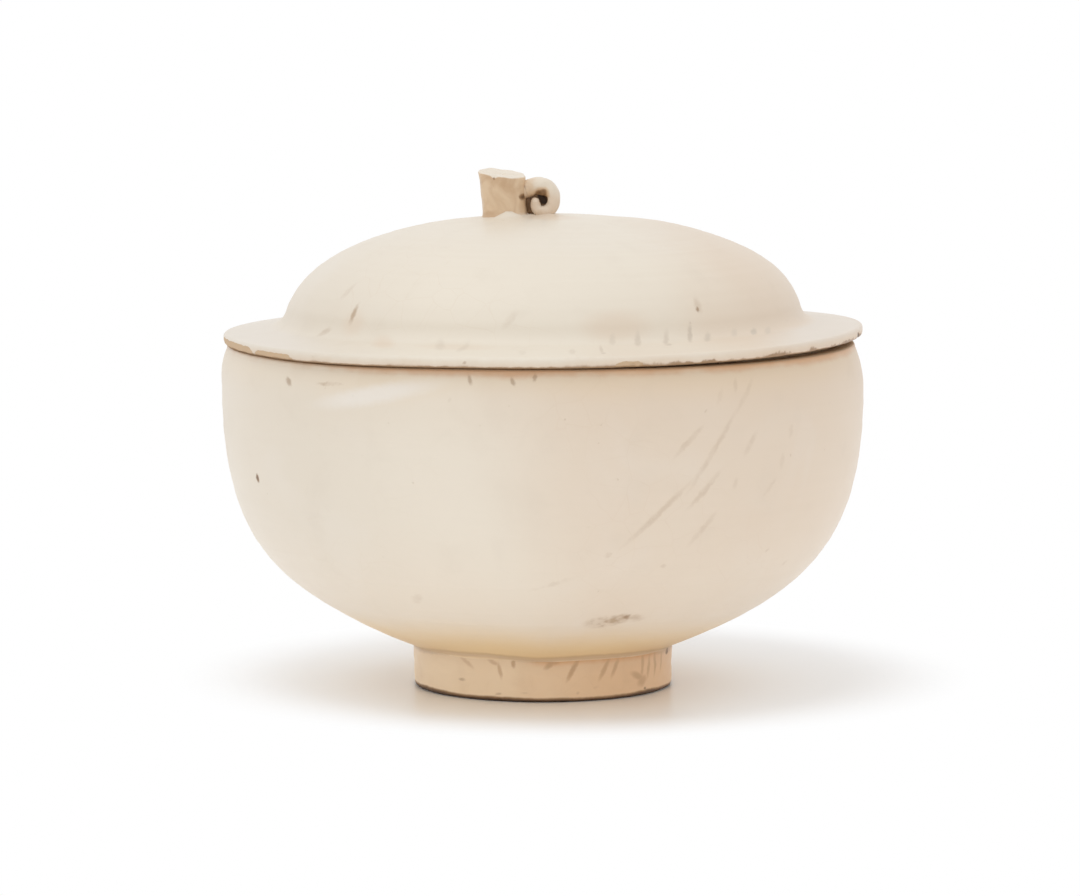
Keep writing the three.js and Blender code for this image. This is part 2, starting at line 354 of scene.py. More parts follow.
JITTER_SCALE = 900.0  # noise scale that makes the edges of marks uneven
STROKE_CORE = 0.25  # share of a stroke's reach within which it has its full strength
CRACK_BENDS = 0.7  # bends of the crackle lines, for each cell
CRACK_SWING = 0.4  # how far they bend, as a share of a cell
GLAZE_IOR = 1.52
RELIEF = 0.25 * MM  # full height of the relief in glaze and clay
KNOB_RELIEF = 0.2 * MM  # the same on the knob
THROWN_LINES = (14.0, 14.0, 700.0)  # noise scale along each axis of the lines that throwing leaves
TURNED_LINES = (20.0, 20.0, 900.0)  # the same for the lines of turning


class Tone:
    """A socket of a material. Arithmetic on it adds Math nodes."""

    def __init__(self, paint, socket):
        self.paint = paint
        self.socket = socket

    def _math(self, operation, first, second):
        return self.paint.node("ShaderNodeMath", {"operation": operation}, {0: first, 1: second})

    def __add__(self, other):
        return self._math("ADD", self, other)

    def __sub__(self, other):
        return self._math("SUBTRACT", self, other)

    def __rsub__(self, other):
        return self._math("SUBTRACT", other, self)

    def __mul__(self, other):
        return self._math("MULTIPLY", self, other)

    __radd__ = __add__
    __rmul__ = __mul__

    def __or__(self, other):
        """The larger of the two."""
        return self._math("MAXIMUM", self, other)

    def out(self, name):
        """Another output of the same node."""
        return Tone(self.paint, self.socket.node.outputs[name])


class Stroke(NamedTuple):
    """A mark on a surface laid flat, as seen from outside."""

    across: float  # degrees round from the front, towards +X, or millimetres along X
    up: float  # millimetres above the table, or in from the edge
    length: float  # millimetres
    width: float  # millimetres
    lean: float  # degrees up from level
    strength: float


class Paint:
    """Builds a node tree: node() adds any node, and the other methods name the patterns used here."""

    def __init__(self, tree):
        self.tree = tree

    def connect(self, node, inputs):
        """Sets or links the sockets of a node."""
        for key, value in inputs.items():
            if isinstance(value, Tone):
                self.tree.links.new(value.socket, node.inputs[key])
            else:
                node.inputs[key].default_value = value

    def node(self, kind, settings, inputs, output=0):
        """Adds a node, sets it, then sets or links its sockets, and returns one of its outputs."""
        made = self.tree.nodes.new(kind)
        for setting, value in settings.items():
            setattr(made, setting, value)
        self.connect(made, inputs)
        return Tone(self, made.outputs[output])

    def place(self):
        """Position on the object, in metres."""
        return self.node("ShaderNodeTexCoord", {}, {}, "Object")

    def along(self, place, axis):
        """Distance along an axis, in millimetres."""
        return self.node("ShaderNodeSeparateXYZ", {}, {0: place}, axis) * (1.0 / MM)

    def distance(self, place, middle):
        """Distance from a point, in metres."""
        return self.node("ShaderNodeVectorMath", {"operation": "DISTANCE"}, {0: place, 1: middle}, "Value")

    def stretched(self, place, scale):
        """The place with each axis multiplied."""
        return self.node("ShaderNodeVectorMath", {"operation": "MULTIPLY"}, {0: place, 1: scale})

    def noise(self, place, scale, detail=2.0, distortion=0.0):
        """Cloudy pattern around 0.5, with lumps about one part of the scale across."""
        inputs = {"Vector": place, "Scale": scale, "Detail": detail, "Distortion": distortion}
        return self.node("ShaderNodeTexNoise", {}, inputs, "Fac")

    def between(self, value, low, high):
        """S-shaped rise from 0 at low to 1 at high."""
        inputs = {"Value": value, "From Min": low, "From Max": high}
        return self.node("ShaderNodeMapRange", {"interpolation_type": "SMOOTHSTEP"}, inputs)

    def window(self, value, low, high, soft):
        """1 from low to high, falling to 0 over the distance soft outside them."""
        return self.between(value, low - soft, low) * self.between(value, high + soft, high)

    def mix(self, share, first, second):
        """Colour that goes from the first to the second as the share goes from 0 to 1."""
        return self.node("ShaderNodeMix", {"data_type": "RGBA"}, {0: share, 6: first, 7: second}, 2)

    def field(self, name):
        """A number stored at each vertex."""
        settings = {"attribute_type": "GEOMETRY", "attribute_name": name}
        return self.node("ShaderNodeAttribute", settings, {}, "Fac")

    def unrolled(self, place, radius, raggedness):
        """Surface laid flat in millimetres: along X the way round at the radius, along Y the height.

        Gives that, the height in millimetres and the angle round from the front.
        """
        split = self.node("ShaderNodeSeparateXYZ", {}, {0: place})
        forward = 0.0 - split.out("Y")
        angle = self.node("ShaderNodeMath", {"operation": "ARCTAN2"}, {0: split, 1: forward})
        height = split.out("Z") * (1.0 / MM)
        flat = self.node("ShaderNodeCombineXYZ", {}, {0: angle * radius, 1: height})
        return self.ragged(flat, place, raggedness), height, angle

    def ragged(self, flat, place, raggedness):
        """A flat layout in millimetres, shaken so that the edges of marks on it are uneven."""
        inputs = {"Vector": place, "Scale": JITTER_SCALE, "Detail": 3.0}
        jitter = self.node("ShaderNodeTexNoise", {}, inputs, "Color")
        swing = self.node(
            "ShaderNodeVectorMath",
            {"operation": "MULTIPLY_ADD"},
            {0: jitter, 1: (raggedness,) * 3, 2: (-0.5 * raggedness,) * 3},
        )
        return self.node("ShaderNodeVectorMath", {"operation": "ADD"}, {0: flat, 1: swing})

    def strokes(self, flat, unit, marks):
        """Strength of the strongest stroke at each place. Each fades towards its elliptical edge.

        The unit is the length in millimetres of one step of the strokes' first number.
        """
        strongest = None
        for mark in marks:
            inputs = {
                "Vector": flat,
                "Location": (mark.across * unit, mark.up, 0.0),
                "Rotation": (0.0, 0.0, math.radians(mark.lean)),
                "Scale": (mark.length / 2.0, mark.width / 2.0, 1.0),
            }
            local = self.node("ShaderNodeMapping", {"vector_type": "TEXTURE"}, inputs)
            reach = self.node("ShaderNodeVectorMath", {"operation": "LENGTH"}, {0: local}, "Value")
            faded = self.between(reach, 1.0, STROKE_CORE) * mark.strength
            strongest = faded if strongest is None else strongest | faded
        return strongest

    def cracks(self, place, scale, width):
        """Fine network of bent crackle lines, 1 on a line. The width is a share of a cell."""
        swing = self.node("ShaderNodeTexNoise", {}, {"Vector": place, "Scale": scale * CRACK_BENDS}, "Color")
        bent = self.node(
            "ShaderNodeVectorMath",
            {"operation": "MULTIPLY_ADD"},
            {0: swing, 1: (CRACK_SWING / scale,) * 3, 2: place},
        )
        settings = {"feature": "DISTANCE_TO_EDGE"}
        edge = self.node("ShaderNodeTexVoronoi", settings, {"Vector": bent, "Scale": scale}, "Distance")
        return self.between(edge, width, 0.0)


def new_paint(name):
    """A new material, with the paint that fills its nodes."""
    material = bpy.data.materials.new(name)
    material.use_nodes = True
    return material, Paint(material.node_tree)


def swayed(value, pattern, sway):
    """The value, carried up and down by a pattern around 0.5. The sway is the way between its ends."""
    return value + (pattern - 0.5) * sway


class Glaze:
    """A material whose tone is built up coat by coat from the named colours."""

    def __init__(self, name, colours, base):
        self.material, self.paint = new_paint(name)
        self.place = self.paint.place()
        self.colours = colours
        self.tone = self.hue(base)

    def hue(self, name):
        """One of the named colours, with full opacity."""
        return (*getattr(self.colours, name), 1.0)

    def noise(self, scale, detail, distortion=0.0):
        """Cloudy pattern around 0.5 on the material's own place."""
        return self.paint.noise(self.place, scale, detail, distortion)

    def lines(self, scale):
        """Fine level lines round the axis, with a noise scale for each axis."""
        return self.paint.noise(self.paint.stretched(self.place, scale), 1.0)

    def coat(self, colour, mask, share=1.0):
        """Lays a named colour or a tone over the coats before it, by the share where the mask is 1."""
        over = colour if isinstance(colour, Tone) else self.hue(colour)
        laid = mask if share == 1.0 else mask * share
        self.tone = self.paint.mix(laid, self.tone, over)

    def fired(self, cool, warm):
        """Ivory as the kiln leaves it: blushing towards +X, dull towards -X, with pale and cloudy patches.

        The blush sets in between the places cool and warm, in millimetres along X. Gives the patterns of the
        patches and of the clouds.
        """
        broad = self.noise(scale=13.0, detail=2.0, distortion=0.4)
        patches = self.noise(scale=36.0, detail=3.0, distortion=0.8)
        clouds = self.noise(scale=95.0, detail=5.0, distortion=0.3)
        along = self.paint.along(self.place, "X")
        self.coat("blush", self.paint.between(swayed(along, broad, 110.0), cool, warm))
        self.coat("cloud", self.paint.between(along, -18.0, -55.0), share=0.3)
        self.coat("pale", self.paint.between(patches, 0.5, 0.74), share=0.14)
        self.coat("cloud", self.paint.between(clouds, 0.54, 0.8), share=0.14)
        return patches, clouds

    def crazed(self):
        """Faint crackle and a few iron specks. Gives the dips they make."""
        stained = self.paint.between(self.noise(scale=21.0, detail=3.0), 0.45, 0.7)
        crackle = self.paint.cracks(self.place, scale=155.0, width=0.022) * stained
        specks = self.paint.between(self.noise(scale=760.0, detail=1.0), 0.79, 0.84)
        self.coat("tan", crackle, share=0.08)
        self.coat("scratch", specks, share=0.18)
        return crackle * 0.25 + specks

    def soiled(self, dirt):
        """Dirt, and painted shade laid the same way: brown at half of it and dark at the whole."""
        self.coat("umber", self.paint.between(dirt, 0.0, 0.55))
        self.coat("grime_and_shade", self.paint.between(dirt, 0.45, 1.0))

    def clay(self):
        """Tone and grain of bare clay."""
        grain = self.noise(scale=1900.0, detail=4.0)
        tone = self.paint.mix(self.paint.between(grain, 0.35, 0.7), self.hue("clay"), self.hue("tan"))
        return tone, grain

    def bared(self, fray, soft):
        """Clay where the field bare is over a half, with a frayed edge that is soft on both sides.

        Gives the mask of the bare places and the grain in them.
        """
        clay, grain = self.clay()
        bare = self.paint.between(self.paint.field("bare") + fray, 0.5 - soft, 0.5 + soft)
        self.coat(clay, bare)
        return bare, grain

    def finish(self, roughness, relief, depth):
        """The material with tone, roughness and relief connected. The depth is the relief's, in metres."""
        inputs = {"Height": relief, "Distance": depth, "Strength": 1.0}
        bump = self.paint.node("ShaderNodeBump", {}, inputs)
        inputs = {"Base Color": self.tone, "Roughness": roughness, "Normal": bump, "IOR": GLAZE_IOR}
        self.paint.connect(self.paint.tree.nodes["Principled BSDF"], inputs)
        return self.material


def seam_line(paint, seam):
    """Stain along the seam between foot and bowl, given the height above it in millimetres."""
    return paint.window(seam, -0.5, 0.1, soft=0.9)


BOWL_ROUND = 70.0  # radius in millimetres at which the bowl's marks are laid out
BOWL_DEGREE = math.radians(BOWL_ROUND)  # millimetres for one degree round the bowl
BOWL_SCRATCHES = (
    Stroke(20.4, 45.0, 26.0, 1.9, 43.2, 0.29),
    Stroke(30.4, 57.8, 26.0, 1.8, 55.9, 0.25),
    Stroke(29.0, 49.6, 13.4, 1.8, 47.0, 0.27),
    Stroke(29.6, 41.2, 12.0, 2.1, 50.0, 0.2),
    Stroke(25.5, 60.1, 12.0, 1.7, 43.6, 0.3),
    Stroke(38.2, 58.8, 8.0, 2.0, 56.0, 0.18),
    Stroke(43.4, 49.0, 7.0, 1.5, 47.5, 0.14),
    Stroke(48.0, 60.5, 4.0, 2.0, 84.0, 0.13),
    Stroke(46.0, 54.4, 4.4, 2.0, 84.0, 0.14),
    Stroke(35.3, 50.5, 3.4, 1.6, 80.0, 0.17),
    Stroke(37.0, 68.6, 14.0, 1.6, 52.0, 0.15),
    Stroke(35.3, 71.1, 4.4, 1.6, 80.0, 0.16),
    Stroke(31.7, 69.0, 4.4, 1.6, 62.0, 0.14),
    Stroke(118.0, 52.0, 14.0, 0.9, -38.0, 0.34),
    Stroke(127.0, 44.0, 8.0, 0.9, -44.0, 0.3),
    Stroke(164.0, 60.0, 9.0, 0.8, 22.0, 0.3),
    Stroke(-166.0, 38.0, 12.0, 1.0, 63.0, 0.32),
    Stroke(-131.0, 57.0, 10.0, 0.9, 48.0, 0.3),
    Stroke(-124.0, 46.0, 6.0, 1.0, 52.0, 0.28),
)
BOWL_TICKS = (
    Stroke(-62.1, 48.9, 2.6, 2.4, 90.0, 0.72),
    Stroke(-12.7, 73.2, 3.2, 1.5, 108.0, 0.28),
    Stroke(-5.2, 73.0, 3.2, 1.5, 116.0, 0.28),
    Stroke(-1.4, 73.8, 2.4, 1.4, 84.0, 0.28),
    Stroke(-50.3, 70.7, 4.2, 1.8, -36.0, 0.3),
    Stroke(19.6, 21.5, 2.8, 1.9, 10.0, 0.36),
    Stroke(-16.0, 69.0, 1.8, 1.4, 50.0, 0.1),
    Stroke(145.0, 33.0, 1.4, 0.9, 20.0, 0.6),
    Stroke(-98.0, 61.0, 1.6, 0.8, 80.0, 0.6),
)
BOWL_SMUDGES = (
    Stroke(13.7, 20.3, 12.0, 3.8, 2.0, 0.8),
    Stroke(17.6, 20.9, 11.0, 3.6, 6.0, 0.85),
    Stroke(21.8, 21.0, 8.0, 2.6, -4.0, 0.45),
    Stroke(12.0, 36.4, 2.4, 1.5, 20.0, 0.22),
    Stroke(23.1, 33.5, 2.0, 1.3, 0.0, 0.2),
    Stroke(47.0, 34.9, 2.2, 1.3, 30.0, 0.2),
    Stroke(55.8, 31.0, 2.6, 1.5, 30.0, 0.2),
    Stroke(2.0, 30.0, 14.0, 1.4, 15.0, 0.16),
    Stroke(-27.6, 25.5, 6.0, 2.4, 24.0, 0.2),
    Stroke(-40.0, 71.0, 9.0, 1.3, 2.0, 0.5),
    Stroke(152.0, 24.0, 9.0, 2.6, -8.0, 0.4),
    Stroke(-150.0, 65.0, 12.0, 3.0, 10.0, 0.22),
)
BOWL_SMEARS = (
    Stroke(-30.4, 69.4, 40.0, 5.6, 10.6, 1.0),
    Stroke(96.0, 63.0, 30.0, 6.0, -7.0, 0.7),
)


# Heights in millimetres between which a stain of the bowl sets in, above the table or above the seam
LOW_WALL = (44.0, 22.0)
CLEAR_OF_FOOT = (10.0, 16.0)
RIM_POOL = (67.0, 75.5)
RIM_TAN = (55.0, 72.0)
RIM_RUST = (73.3, 75.1)
SEAM_POOL = (11.0, 1.5)
SEAM_TAN = (6.0, 0.5)
SEAM_BARE = (0.2, -0.3)


def bowl_glaze(colours):
    """Ivory glaze of the bowl: stained under the rim, pooled above the foot, scratched and smeared."""
    glaze = Glaze("stained_bowl", colours, "ivory")
    paint = glaze.paint
    patches, clouds = glaze.fired(cool=-50.0, warm=50.0)
    dips = glaze.crazed()
    flat, height, angle = paint.unrolled(glaze.place, BOWL_ROUND, raggedness=0.9)
    fray = glaze.noise(scale=420.0, detail=3.0) - 0.5
    low = paint.between(height, *LOW_WALL) * paint.between(height, *CLEAR_OF_FOOT)
    glaze.coat("blush", low * paint.between(angle, 0.2, -0.5), share=0.25)
    glaze.coat("ivory", low * paint.between(angle, 0.2, 0.6), share=0.3)
    rim_level = swayed(height, patches, 8.0)
    sheltered = 0.4 + 0.6 * paint.between(angle, -0.95, -0.4)
    glaze.coat("pooled", paint.between(rim_level, *RIM_POOL) * sheltered, share=0.3)
    glaze.coat("tan", paint.between(rim_level, *RIM_TAN) * sheltered, share=0.13)
    glaze.coat("pale", paint.strokes(flat, BOWL_DEGREE, BOWL_SMEARS), share=0.75)
    edge_level = swayed(height, clouds, 2.2) + fray * 0.8
    glaze.coat("rust", paint.between(edge_level, *RIM_RUST) * sheltered, share=0.64)
    seam = paint.field("seam") + fray * 0.6
    glaze.coat("pooled", paint.between(swayed(seam, patches, 3.0), *SEAM_POOL), share=0.92)
    sides = 1.0 - paint.window(angle, -0.3, 0.3, soft=0.7)
    glaze.coat("tan", paint.between(seam, *SEAM_TAN) * sides, share=0.4)
    glaze.coat("biscuit", paint.between(seam, *SEAM_BARE))
    glaze.coat("scratch", seam_line(paint, seam), share=0.46)
    broken = paint.between(fray, -0.18, 0.1)
    smudges = paint.strokes(flat, BOWL_DEGREE, BOWL_SMUDGES) * (0.25 + 0.75 * broken)
    scratches = paint.strokes(flat, BOWL_DEGREE, BOWL_SCRATCHES) * (0.5 + 0.5 * broken)
    outside = paint.field("outside")
    glaze.coat("scratch", (smudges | scratches) * outside)
    glaze.soiled(paint.strokes(flat, BOWL_DEGREE, BOWL_TICKS) * outside)
    bare, grain = glaze.bared(fray * 0.8, soft=0.08)
    skin = glaze.noise(scale=260.0, detail=3.0)
    relief = glaze.lines(THROWN_LINES) * 0.1 + skin * 0.16 + grain * bare * 0.25 - dips * 0.2
    roughness = swayed(0.42, clouds, 0.16) + bare * 0.38
    return glaze.finish(roughness, relief, RELIEF)


COVER_ROUND = 57.0  # radius in millimetres at which the cover's marks are laid out
COVER_DEGREE = math.radians(COVER_ROUND)  # millimetres for one degree round the cover
COVER_SCRATCHES = (
    Stroke(-46.4, 84.4, 5.8, 2.0, 82.0, 0.7),
    Stroke(-52.4, 88.6, 5.0, 2.4, 62.0, 0.2),
    Stroke(-54.0, 80.2, 4.6, 2.2, 24.0, 0.34),
    Stroke(-7.1, 84.7, 6.5, 2.2, 50.0, 0.18),
    Stroke(36.7, 86.7, 4.2, 2.8, 84.0, 0.28),
    Stroke(130.0, 86.0, 7.0, 0.9, 40.0, 0.3),
    Stroke(141.0, 89.0, 5.0, 0.9, 36.0, 0.26),
    Stroke(-142.0, 84.0, 6.0, 1.0, 70.0, 0.3),
    Stroke(-108.0, 90.0, 8.0, 0.9, 18.0, 0.24),
    Stroke(171.0, 82.0, 3.0, 1.0, 84.0, 0.34),
)
COVER_DRIPS = (
    # along X, or along -X on the far side, and in from the edge over the flange and up the dome
    Stroke(6.0, 5.8, 7.0, 2.0, 90.0, 0.4),
    Stroke(12.0, 7.2, 9.0, 1.2, 92.0, 0.6),
    Stroke(12.5, 3.9, 2.2, 1.6, 90.0, 0.8),
    Stroke(14.4, 12.2, 4.4, 2.0, 88.0, 0.4),
    Stroke(19.7, 11.6, 7.5, 2.0, 90.0, 0.6),
    Stroke(25.6, 11.6, 7.0, 1.7, 88.0, 0.6),
    Stroke(26.2, 9.2, 2.6, 1.9, 80.0, 0.7),
    Stroke(30.7, 12.6, 7.4, 1.4, 91.0, 0.85),
    Stroke(34.4, 11.3, 5.0, 2.2, 86.0, 0.7),
    Stroke(40.2, 12.1, 3.4, 1.8, 90.0, 0.4),
    Stroke(44.5, 11.9, 3.0, 2.0, 90.0, 0.85),
    Stroke(47.6, 11.4, 3.6, 2.2, 90.0, 0.5),
    Stroke(-21.4, 9.4, 9.0, 3.0, 88.0, 0.36),
    Stroke(-16.6, 8.4, 10.0, 2.4, 72.0, 0.36),
    Stroke(-4.2, 5.0, 6.0, 2.0, 90.0, 0.24),
)
COVER_BLUSHES = (
    # laid out like the drips
    Stroke(15.2, 15.4, 20.0, 10.0, 0.0, 0.6),
    Stroke(-33.4, 9.6, 9.0, 7.0, 90.0, 0.7),
    Stroke(-40.0, 15.0, 9.0, 6.0, 60.0, 0.5),
    Stroke(-18.0, 9.0, 22.0, 7.0, 0.0, 0.4),
)
COVER_TICKS = (
    Stroke(36.2, 85.9, 1.7, 1.4, 80.0, 0.36),
    Stroke(-13.4, 76.8, 1.0, 1.0, 90.0, 0.25),
)
CURL_SKIRT = (2.0 * MM, -6.0 * MM, 102.6 * MM)  # middle of the blush on the dome before the curl


# Heights in millimetres above the underside of the flange between which a stain of its edge sets in; the last
# is painted shade of the gap under the flange
EDGE_TAN = (2.3, 0.2)
EDGE_UMBER = (0.75, 0.1)
EDGE_CHIPS = (0.9, 0.2)
EDGE_GAP_SHADE = (0.55, 0.2)


def cover_glaze(colours):
    """Ivory glaze of the cover: bare and grimy along its chipped edge, with painted shade of the gap along
    its lower edge, and drips round the dome.
    """
    glaze = Glaze("stained_cover", colours, "ivory")
    paint = glaze.paint
    _, clouds = glaze.fired(cool=0.0, warm=62.0)
    dips = glaze.crazed()
    flat, height, angle = paint.unrolled(glaze.place, COVER_ROUND, raggedness=0.8)
    fray = glaze.noise(scale=420.0, detail=3.0) - 0.5
    broken = paint.between(fray, -0.18, 0.1)
    across = paint.along(glaze.place, "X")
    inward = paint.field("inward")
    rise = paint.field("rise")
    edge_level = swayed(rise, clouds, 1.4) + fray * 0.8
    glaze.coat("cloud", paint.between(height, 94.0, 101.0), share=0.12)
    middle = paint.window(across, -42.0, 42.0, soft=16.0)
    ends = paint.window(inward, 1.5, 9.0, soft=3.0) * (1.0 - middle)
    glaze.coat("pale", ends, share=0.7)
    glaze.coat("cloud", ends, share=0.26)
    glaze.coat("tan", paint.between(edge_level, *EDGE_TAN), share=0.42)
    glaze.coat("umber", paint.between(edge_level, *EDGE_UMBER), share=0.6)
    skirt = paint.distance(glaze.place, CURL_SKIRT)
    glaze.coat("blush", paint.between(skirt, 8.0 * MM, 2.5 * MM), share=0.7)
    facing = 2.0 * paint.between(paint.along(glaze.place, "Y"), 1.0, -1.0) - 1.0
    upright = paint.node("ShaderNodeCombineXYZ", {}, {0: across * facing, 1: inward})
    upright = paint.ragged(upright, glaze.place, raggedness=0.8)
    glaze.coat("blush", paint.strokes(upright, 1.0, COVER_BLUSHES))
    glaze.coat("cloud", paint.strokes(upright, 1.0, COVER_DRIPS))
    glaze.coat("scratch", paint.strokes(flat, COVER_DEGREE, COVER_SCRATCHES) * (0.5 + 0.5 * broken))
    bare, grain = glaze.bared(fray * 1.1, soft=0.1)
    ticks = paint.strokes(flat, COVER_DEGREE, COVER_TICKS)
    grime_and_shade = paint.between(paint.field("grime_and_shade") + fray * 1.2, 0.35, 0.9) * 0.85
    chips = paint.between(edge_level + fray * 2.0, *EDGE_CHIPS) * paint.between(angle, 0.1, 0.5) * 0.42
    # Painted shade of the gap between flange and rim: a dark band along the flange's lower edge all round.
    line = paint.between(rise + fray * 0.6, *EDGE_GAP_SHADE) * 0.42
    glaze.soiled(ticks | grime_and_shade | chips | line)
    skin = glaze.noise(scale=260.0, detail=3.0)
    relief = glaze.lines(THROWN_LINES) * 0.08 + skin * 0.16 + grain * bare * 0.3 - dips * 0.2
    roughness = swayed(0.42, clouds, 0.16) + bare * 0.38
    return glaze.finish(roughness, relief, RELIEF)


FOOT_ROUND = 28.4  # radius in millimetres at which the foot's marks are laid out
FOOT_DEGREE = math.radians(FOOT_ROUND)  # millimetres for one degree round the foot
FOOT_RUNS = (
    Stroke(-35.5, 8.0, 6.0, 1.4, -32.0, 0.34),
    Stroke(-21.8, 8.4, 4.0, 1.3, -20.0, 0.46),
    Stroke(-19.0, 6.7, 5.0, 1.3, 102.0, 0.56),
    Stroke(-12.9, 8.3, 2.6, 1.4, 90.0, 0.75),
    Stroke(3.0, 8.2, 4.4, 1.7, 42.0, 0.66),
    Stroke(4.4, 8.6, 4.0, 1.5, 4.0, 0.5),
    Stroke(13.0, 6.9, 7.4, 1.6, 62.0, 0.75),
    Stroke(27.6, 6.8, 7.0, 1.5, 62.0, 0.6),
    Stroke(33.0, 6.9, 6.2, 1.5, 66.0, 0.56),
    Stroke(49.2, 6.6, 7.4, 1.4, 90.0, 0.5),
    Stroke(53.7, 6.2, 7.6, 1.4, 86.0, 0.5),
    Stroke(58.6, 6.4, 7.6, 1.4, 94.0, 0.55),
    Stroke(64.2, 6.6, 6.4, 1.3, 90.0, 0.45),
    Stroke(46.5, 4.4, 6.4, 2.2, -22.0, 0.6),
    Stroke(49.5, 3.2, 4.4, 3.2, 20.0, 0.55),
    Stroke(112.0, 6.4, 4.6, 0.6, 86.0, 0.45),
    Stroke(138.0, 7.0, 3.6, 0.6, 94.0, 0.4),
    Stroke(163.0, 6.2, 5.0, 0.6, 88.0, 0.45),
    Stroke(-160.0, 6.8, 4.0, 0.6, 80.0, 0.4),
    Stroke(-118.0, 6.6, 4.4, 0.6, 98.0, 0.45),
    Stroke(-88.0, 7.2, 3.2, 0.6, 84.0, 0.4),
)
FOOT_SPOTS = (
    Stroke(71.4, 8.4, 3.0, 2.0, 30.0, 0.85),
    Stroke(-38.0, 4.1, 3.2, 1.2, 4.0, 0.26),
    Stroke(51.7, 1.4, 1.4, 1.1, 0.0, 0.4),
    Stroke(15.5, 1.8, 1.2, 1.0, 60.0, 0.2),
    Stroke(24.0, 2.9, 2.4, 1.1, 20.0, 0.12),
    Stroke(-8.0, 2.0, 3.2, 0.8, 0.0, 0.14),
    Stroke(-20.0, 1.6, 2.4, 1.0, 8.0, 0.24),
    Stroke(128.0, 3.2, 3.4, 1.6, 12.0, 0.4),
    Stroke(-141.0, 2.4, 2.8, 1.2, -14.0, 0.4),
)


# Heights in millimetres above the seam, or above the table, between which a stain of the foot sets in; the
# last is the grime and painted contact shadow at its standing edge
BELOW_SEAM_TAN = (-4.5, -0.5)
BELOW_SEAM_RUST = (-2.4, -0.5)
STANDING_GRIME_AND_SHADOW = (1.3, 0.3)


def foot_glaze(colours):
    """Thin glaze of the foot: stained runs below a dark seam, bare and grimy where it stands, with painted
    contact shadow along the standing edge.
    """
    glaze = Glaze("stained_foot", colours, "biscuit")
    paint = glaze.paint
    broad = glaze.noise(scale=42.0, detail=3.0, distortion=0.6)
    clouds = glaze.noise(scale=150.0, detail=5.0, distortion=0.3)
    fray = glaze.noise(scale=620.0, detail=3.0) - 0.5
    along = paint.along(glaze.place, "X")
    glaze.coat("toasted", paint.between(swayed(along, broad, 40.0), -22.0, 30.0))
    glaze.coat("tan", paint.between(clouds, 0.45, 0.78), share=0.22)
    dips = glaze.crazed()
    flat, height, angle = paint.unrolled(glaze.place, FOOT_ROUND, raggedness=0.55)
    seam = paint.field("seam") + fray * 0.6
    redder = paint.window(angle, 0.1, 0.85, soft=0.3)
    glaze.coat("tan", paint.between(seam, *BELOW_SEAM_TAN), share=0.22)
    glaze.coat("scratch", seam_line(paint, seam), share=0.46)
    glaze.coat("rust", paint.between(seam, *BELOW_SEAM_RUST) * redder, share=0.78)
    runs = paint.strokes(flat, FOOT_DEGREE, FOOT_RUNS)
    glaze.coat("rust", runs, share=0.5)
    glaze.coat("scratch", runs, share=0.7)
    broken = paint.between(fray, -0.2, 0.1)
    glaze.soiled(paint.strokes(flat, FOOT_DEGREE, FOOT_SPOTS) * (0.6 + 0.4 * broken))
    bare, grain = glaze.bared(fray * 0.9, soft=0.08)
    edge_level = swayed(height, broad, 1.6) + fray * 0.3
    # The standing edge darkens: grime, and painted contact shadow where the foot meets the floor.
    worn = paint.between(edge_level, *STANDING_GRIME_AND_SHADOW) * paint.field("grime_and_shade") * 0.85
    glaze.soiled(worn)
    relief = glaze.lines(TURNED_LINES) * 0.2 + grain * (0.05 + 0.3 * bare) - dips * 0.2
    roughness = swayed(0.42, clouds, 0.2) + bare * 0.36 + worn * 0.2
    return glaze.finish(roughness, relief, RELIEF)


def knob_glaze(colours):
    """Glaze of the knob: tan where it runs thin, ivory where it is raised and lighter towards the top, partly
    a painted highlight, and darkened in its hollows and creases, much of it painted shade.
    """
    glaze = Glaze("stained_knob", colours, "tan")
    paint = glaze.paint
    patches = glaze.noise(scale=200.0, detail=4.0, distortion=0.8)
    clouds = glaze.noise(scale=700.0, detail=5.0, distortion=0.3)
    height = paint.along(glaze.place, "Z")
    glaze.coat("biscuit", paint.between(patches, 0.3, 0.7), share=0.55)
    raised = paint.between(swayed(paint.field("raised"), clouds, 0.5), 0.25, 0.9)
    # Towards the top the raised glaze is ivory, lower down blush: partly the glaze's colour, partly a painted
    # highlight on top.
    pale = paint.mix(paint.between(height, 109.0, 105.5), glaze.hue("ivory"), glaze.hue("blush"))
    glaze.coat(pale, raised, share=0.85)
    dips = glaze.crazed()
    # Darkening from the field: painted shade in the curl's eye, under the arch, at the tendril's root and in
    # a dent of the stalk; darker also round the stalk's foot and at the notch of its cut.
    grime_and_shade = paint.between(swayed(paint.field("grime_and_shade"), clouds, 0.4), 0.3, 0.9)
    glaze.soiled(grime_and_shade)
    skin = glaze.noise(scale=620.0, detail=4.0)
    relief = skin * 0.5 + clouds * 0.2 - dips * 0.1
    roughness = swayed(0.4, clouds, 0.2) + grime_and_shade * 0.3
    return glaze.finish(roughness, relief, KNOB_RELIEF)


def bare_clay(colours):
    """Unglazed fired clay: grainy, stained and turned, with dark grit."""
    glaze = Glaze("turned_clay", colours, "clay")
    paint = glaze.paint
    glaze.tone, grain = glaze.clay()
    broad = glaze.noise(scale=30.0, detail=4.0, distortion=0.6)
    grit = paint.between(glaze.noise(scale=1100.0, detail=0.0), 0.72, 0.8)
    glaze.coat("pooled", paint.between(broad, 0.4, 0.7), share=0.5)
    glaze.coat("grime_and_shade", grit, share=0.6)
    relief = glaze.lines(TURNED_LINES) * 0.35 + grain * 0.4 - grit * 0.2
    return glaze.finish(0.72 + grain * 0.2, relief, RELIEF)


# Foot ring

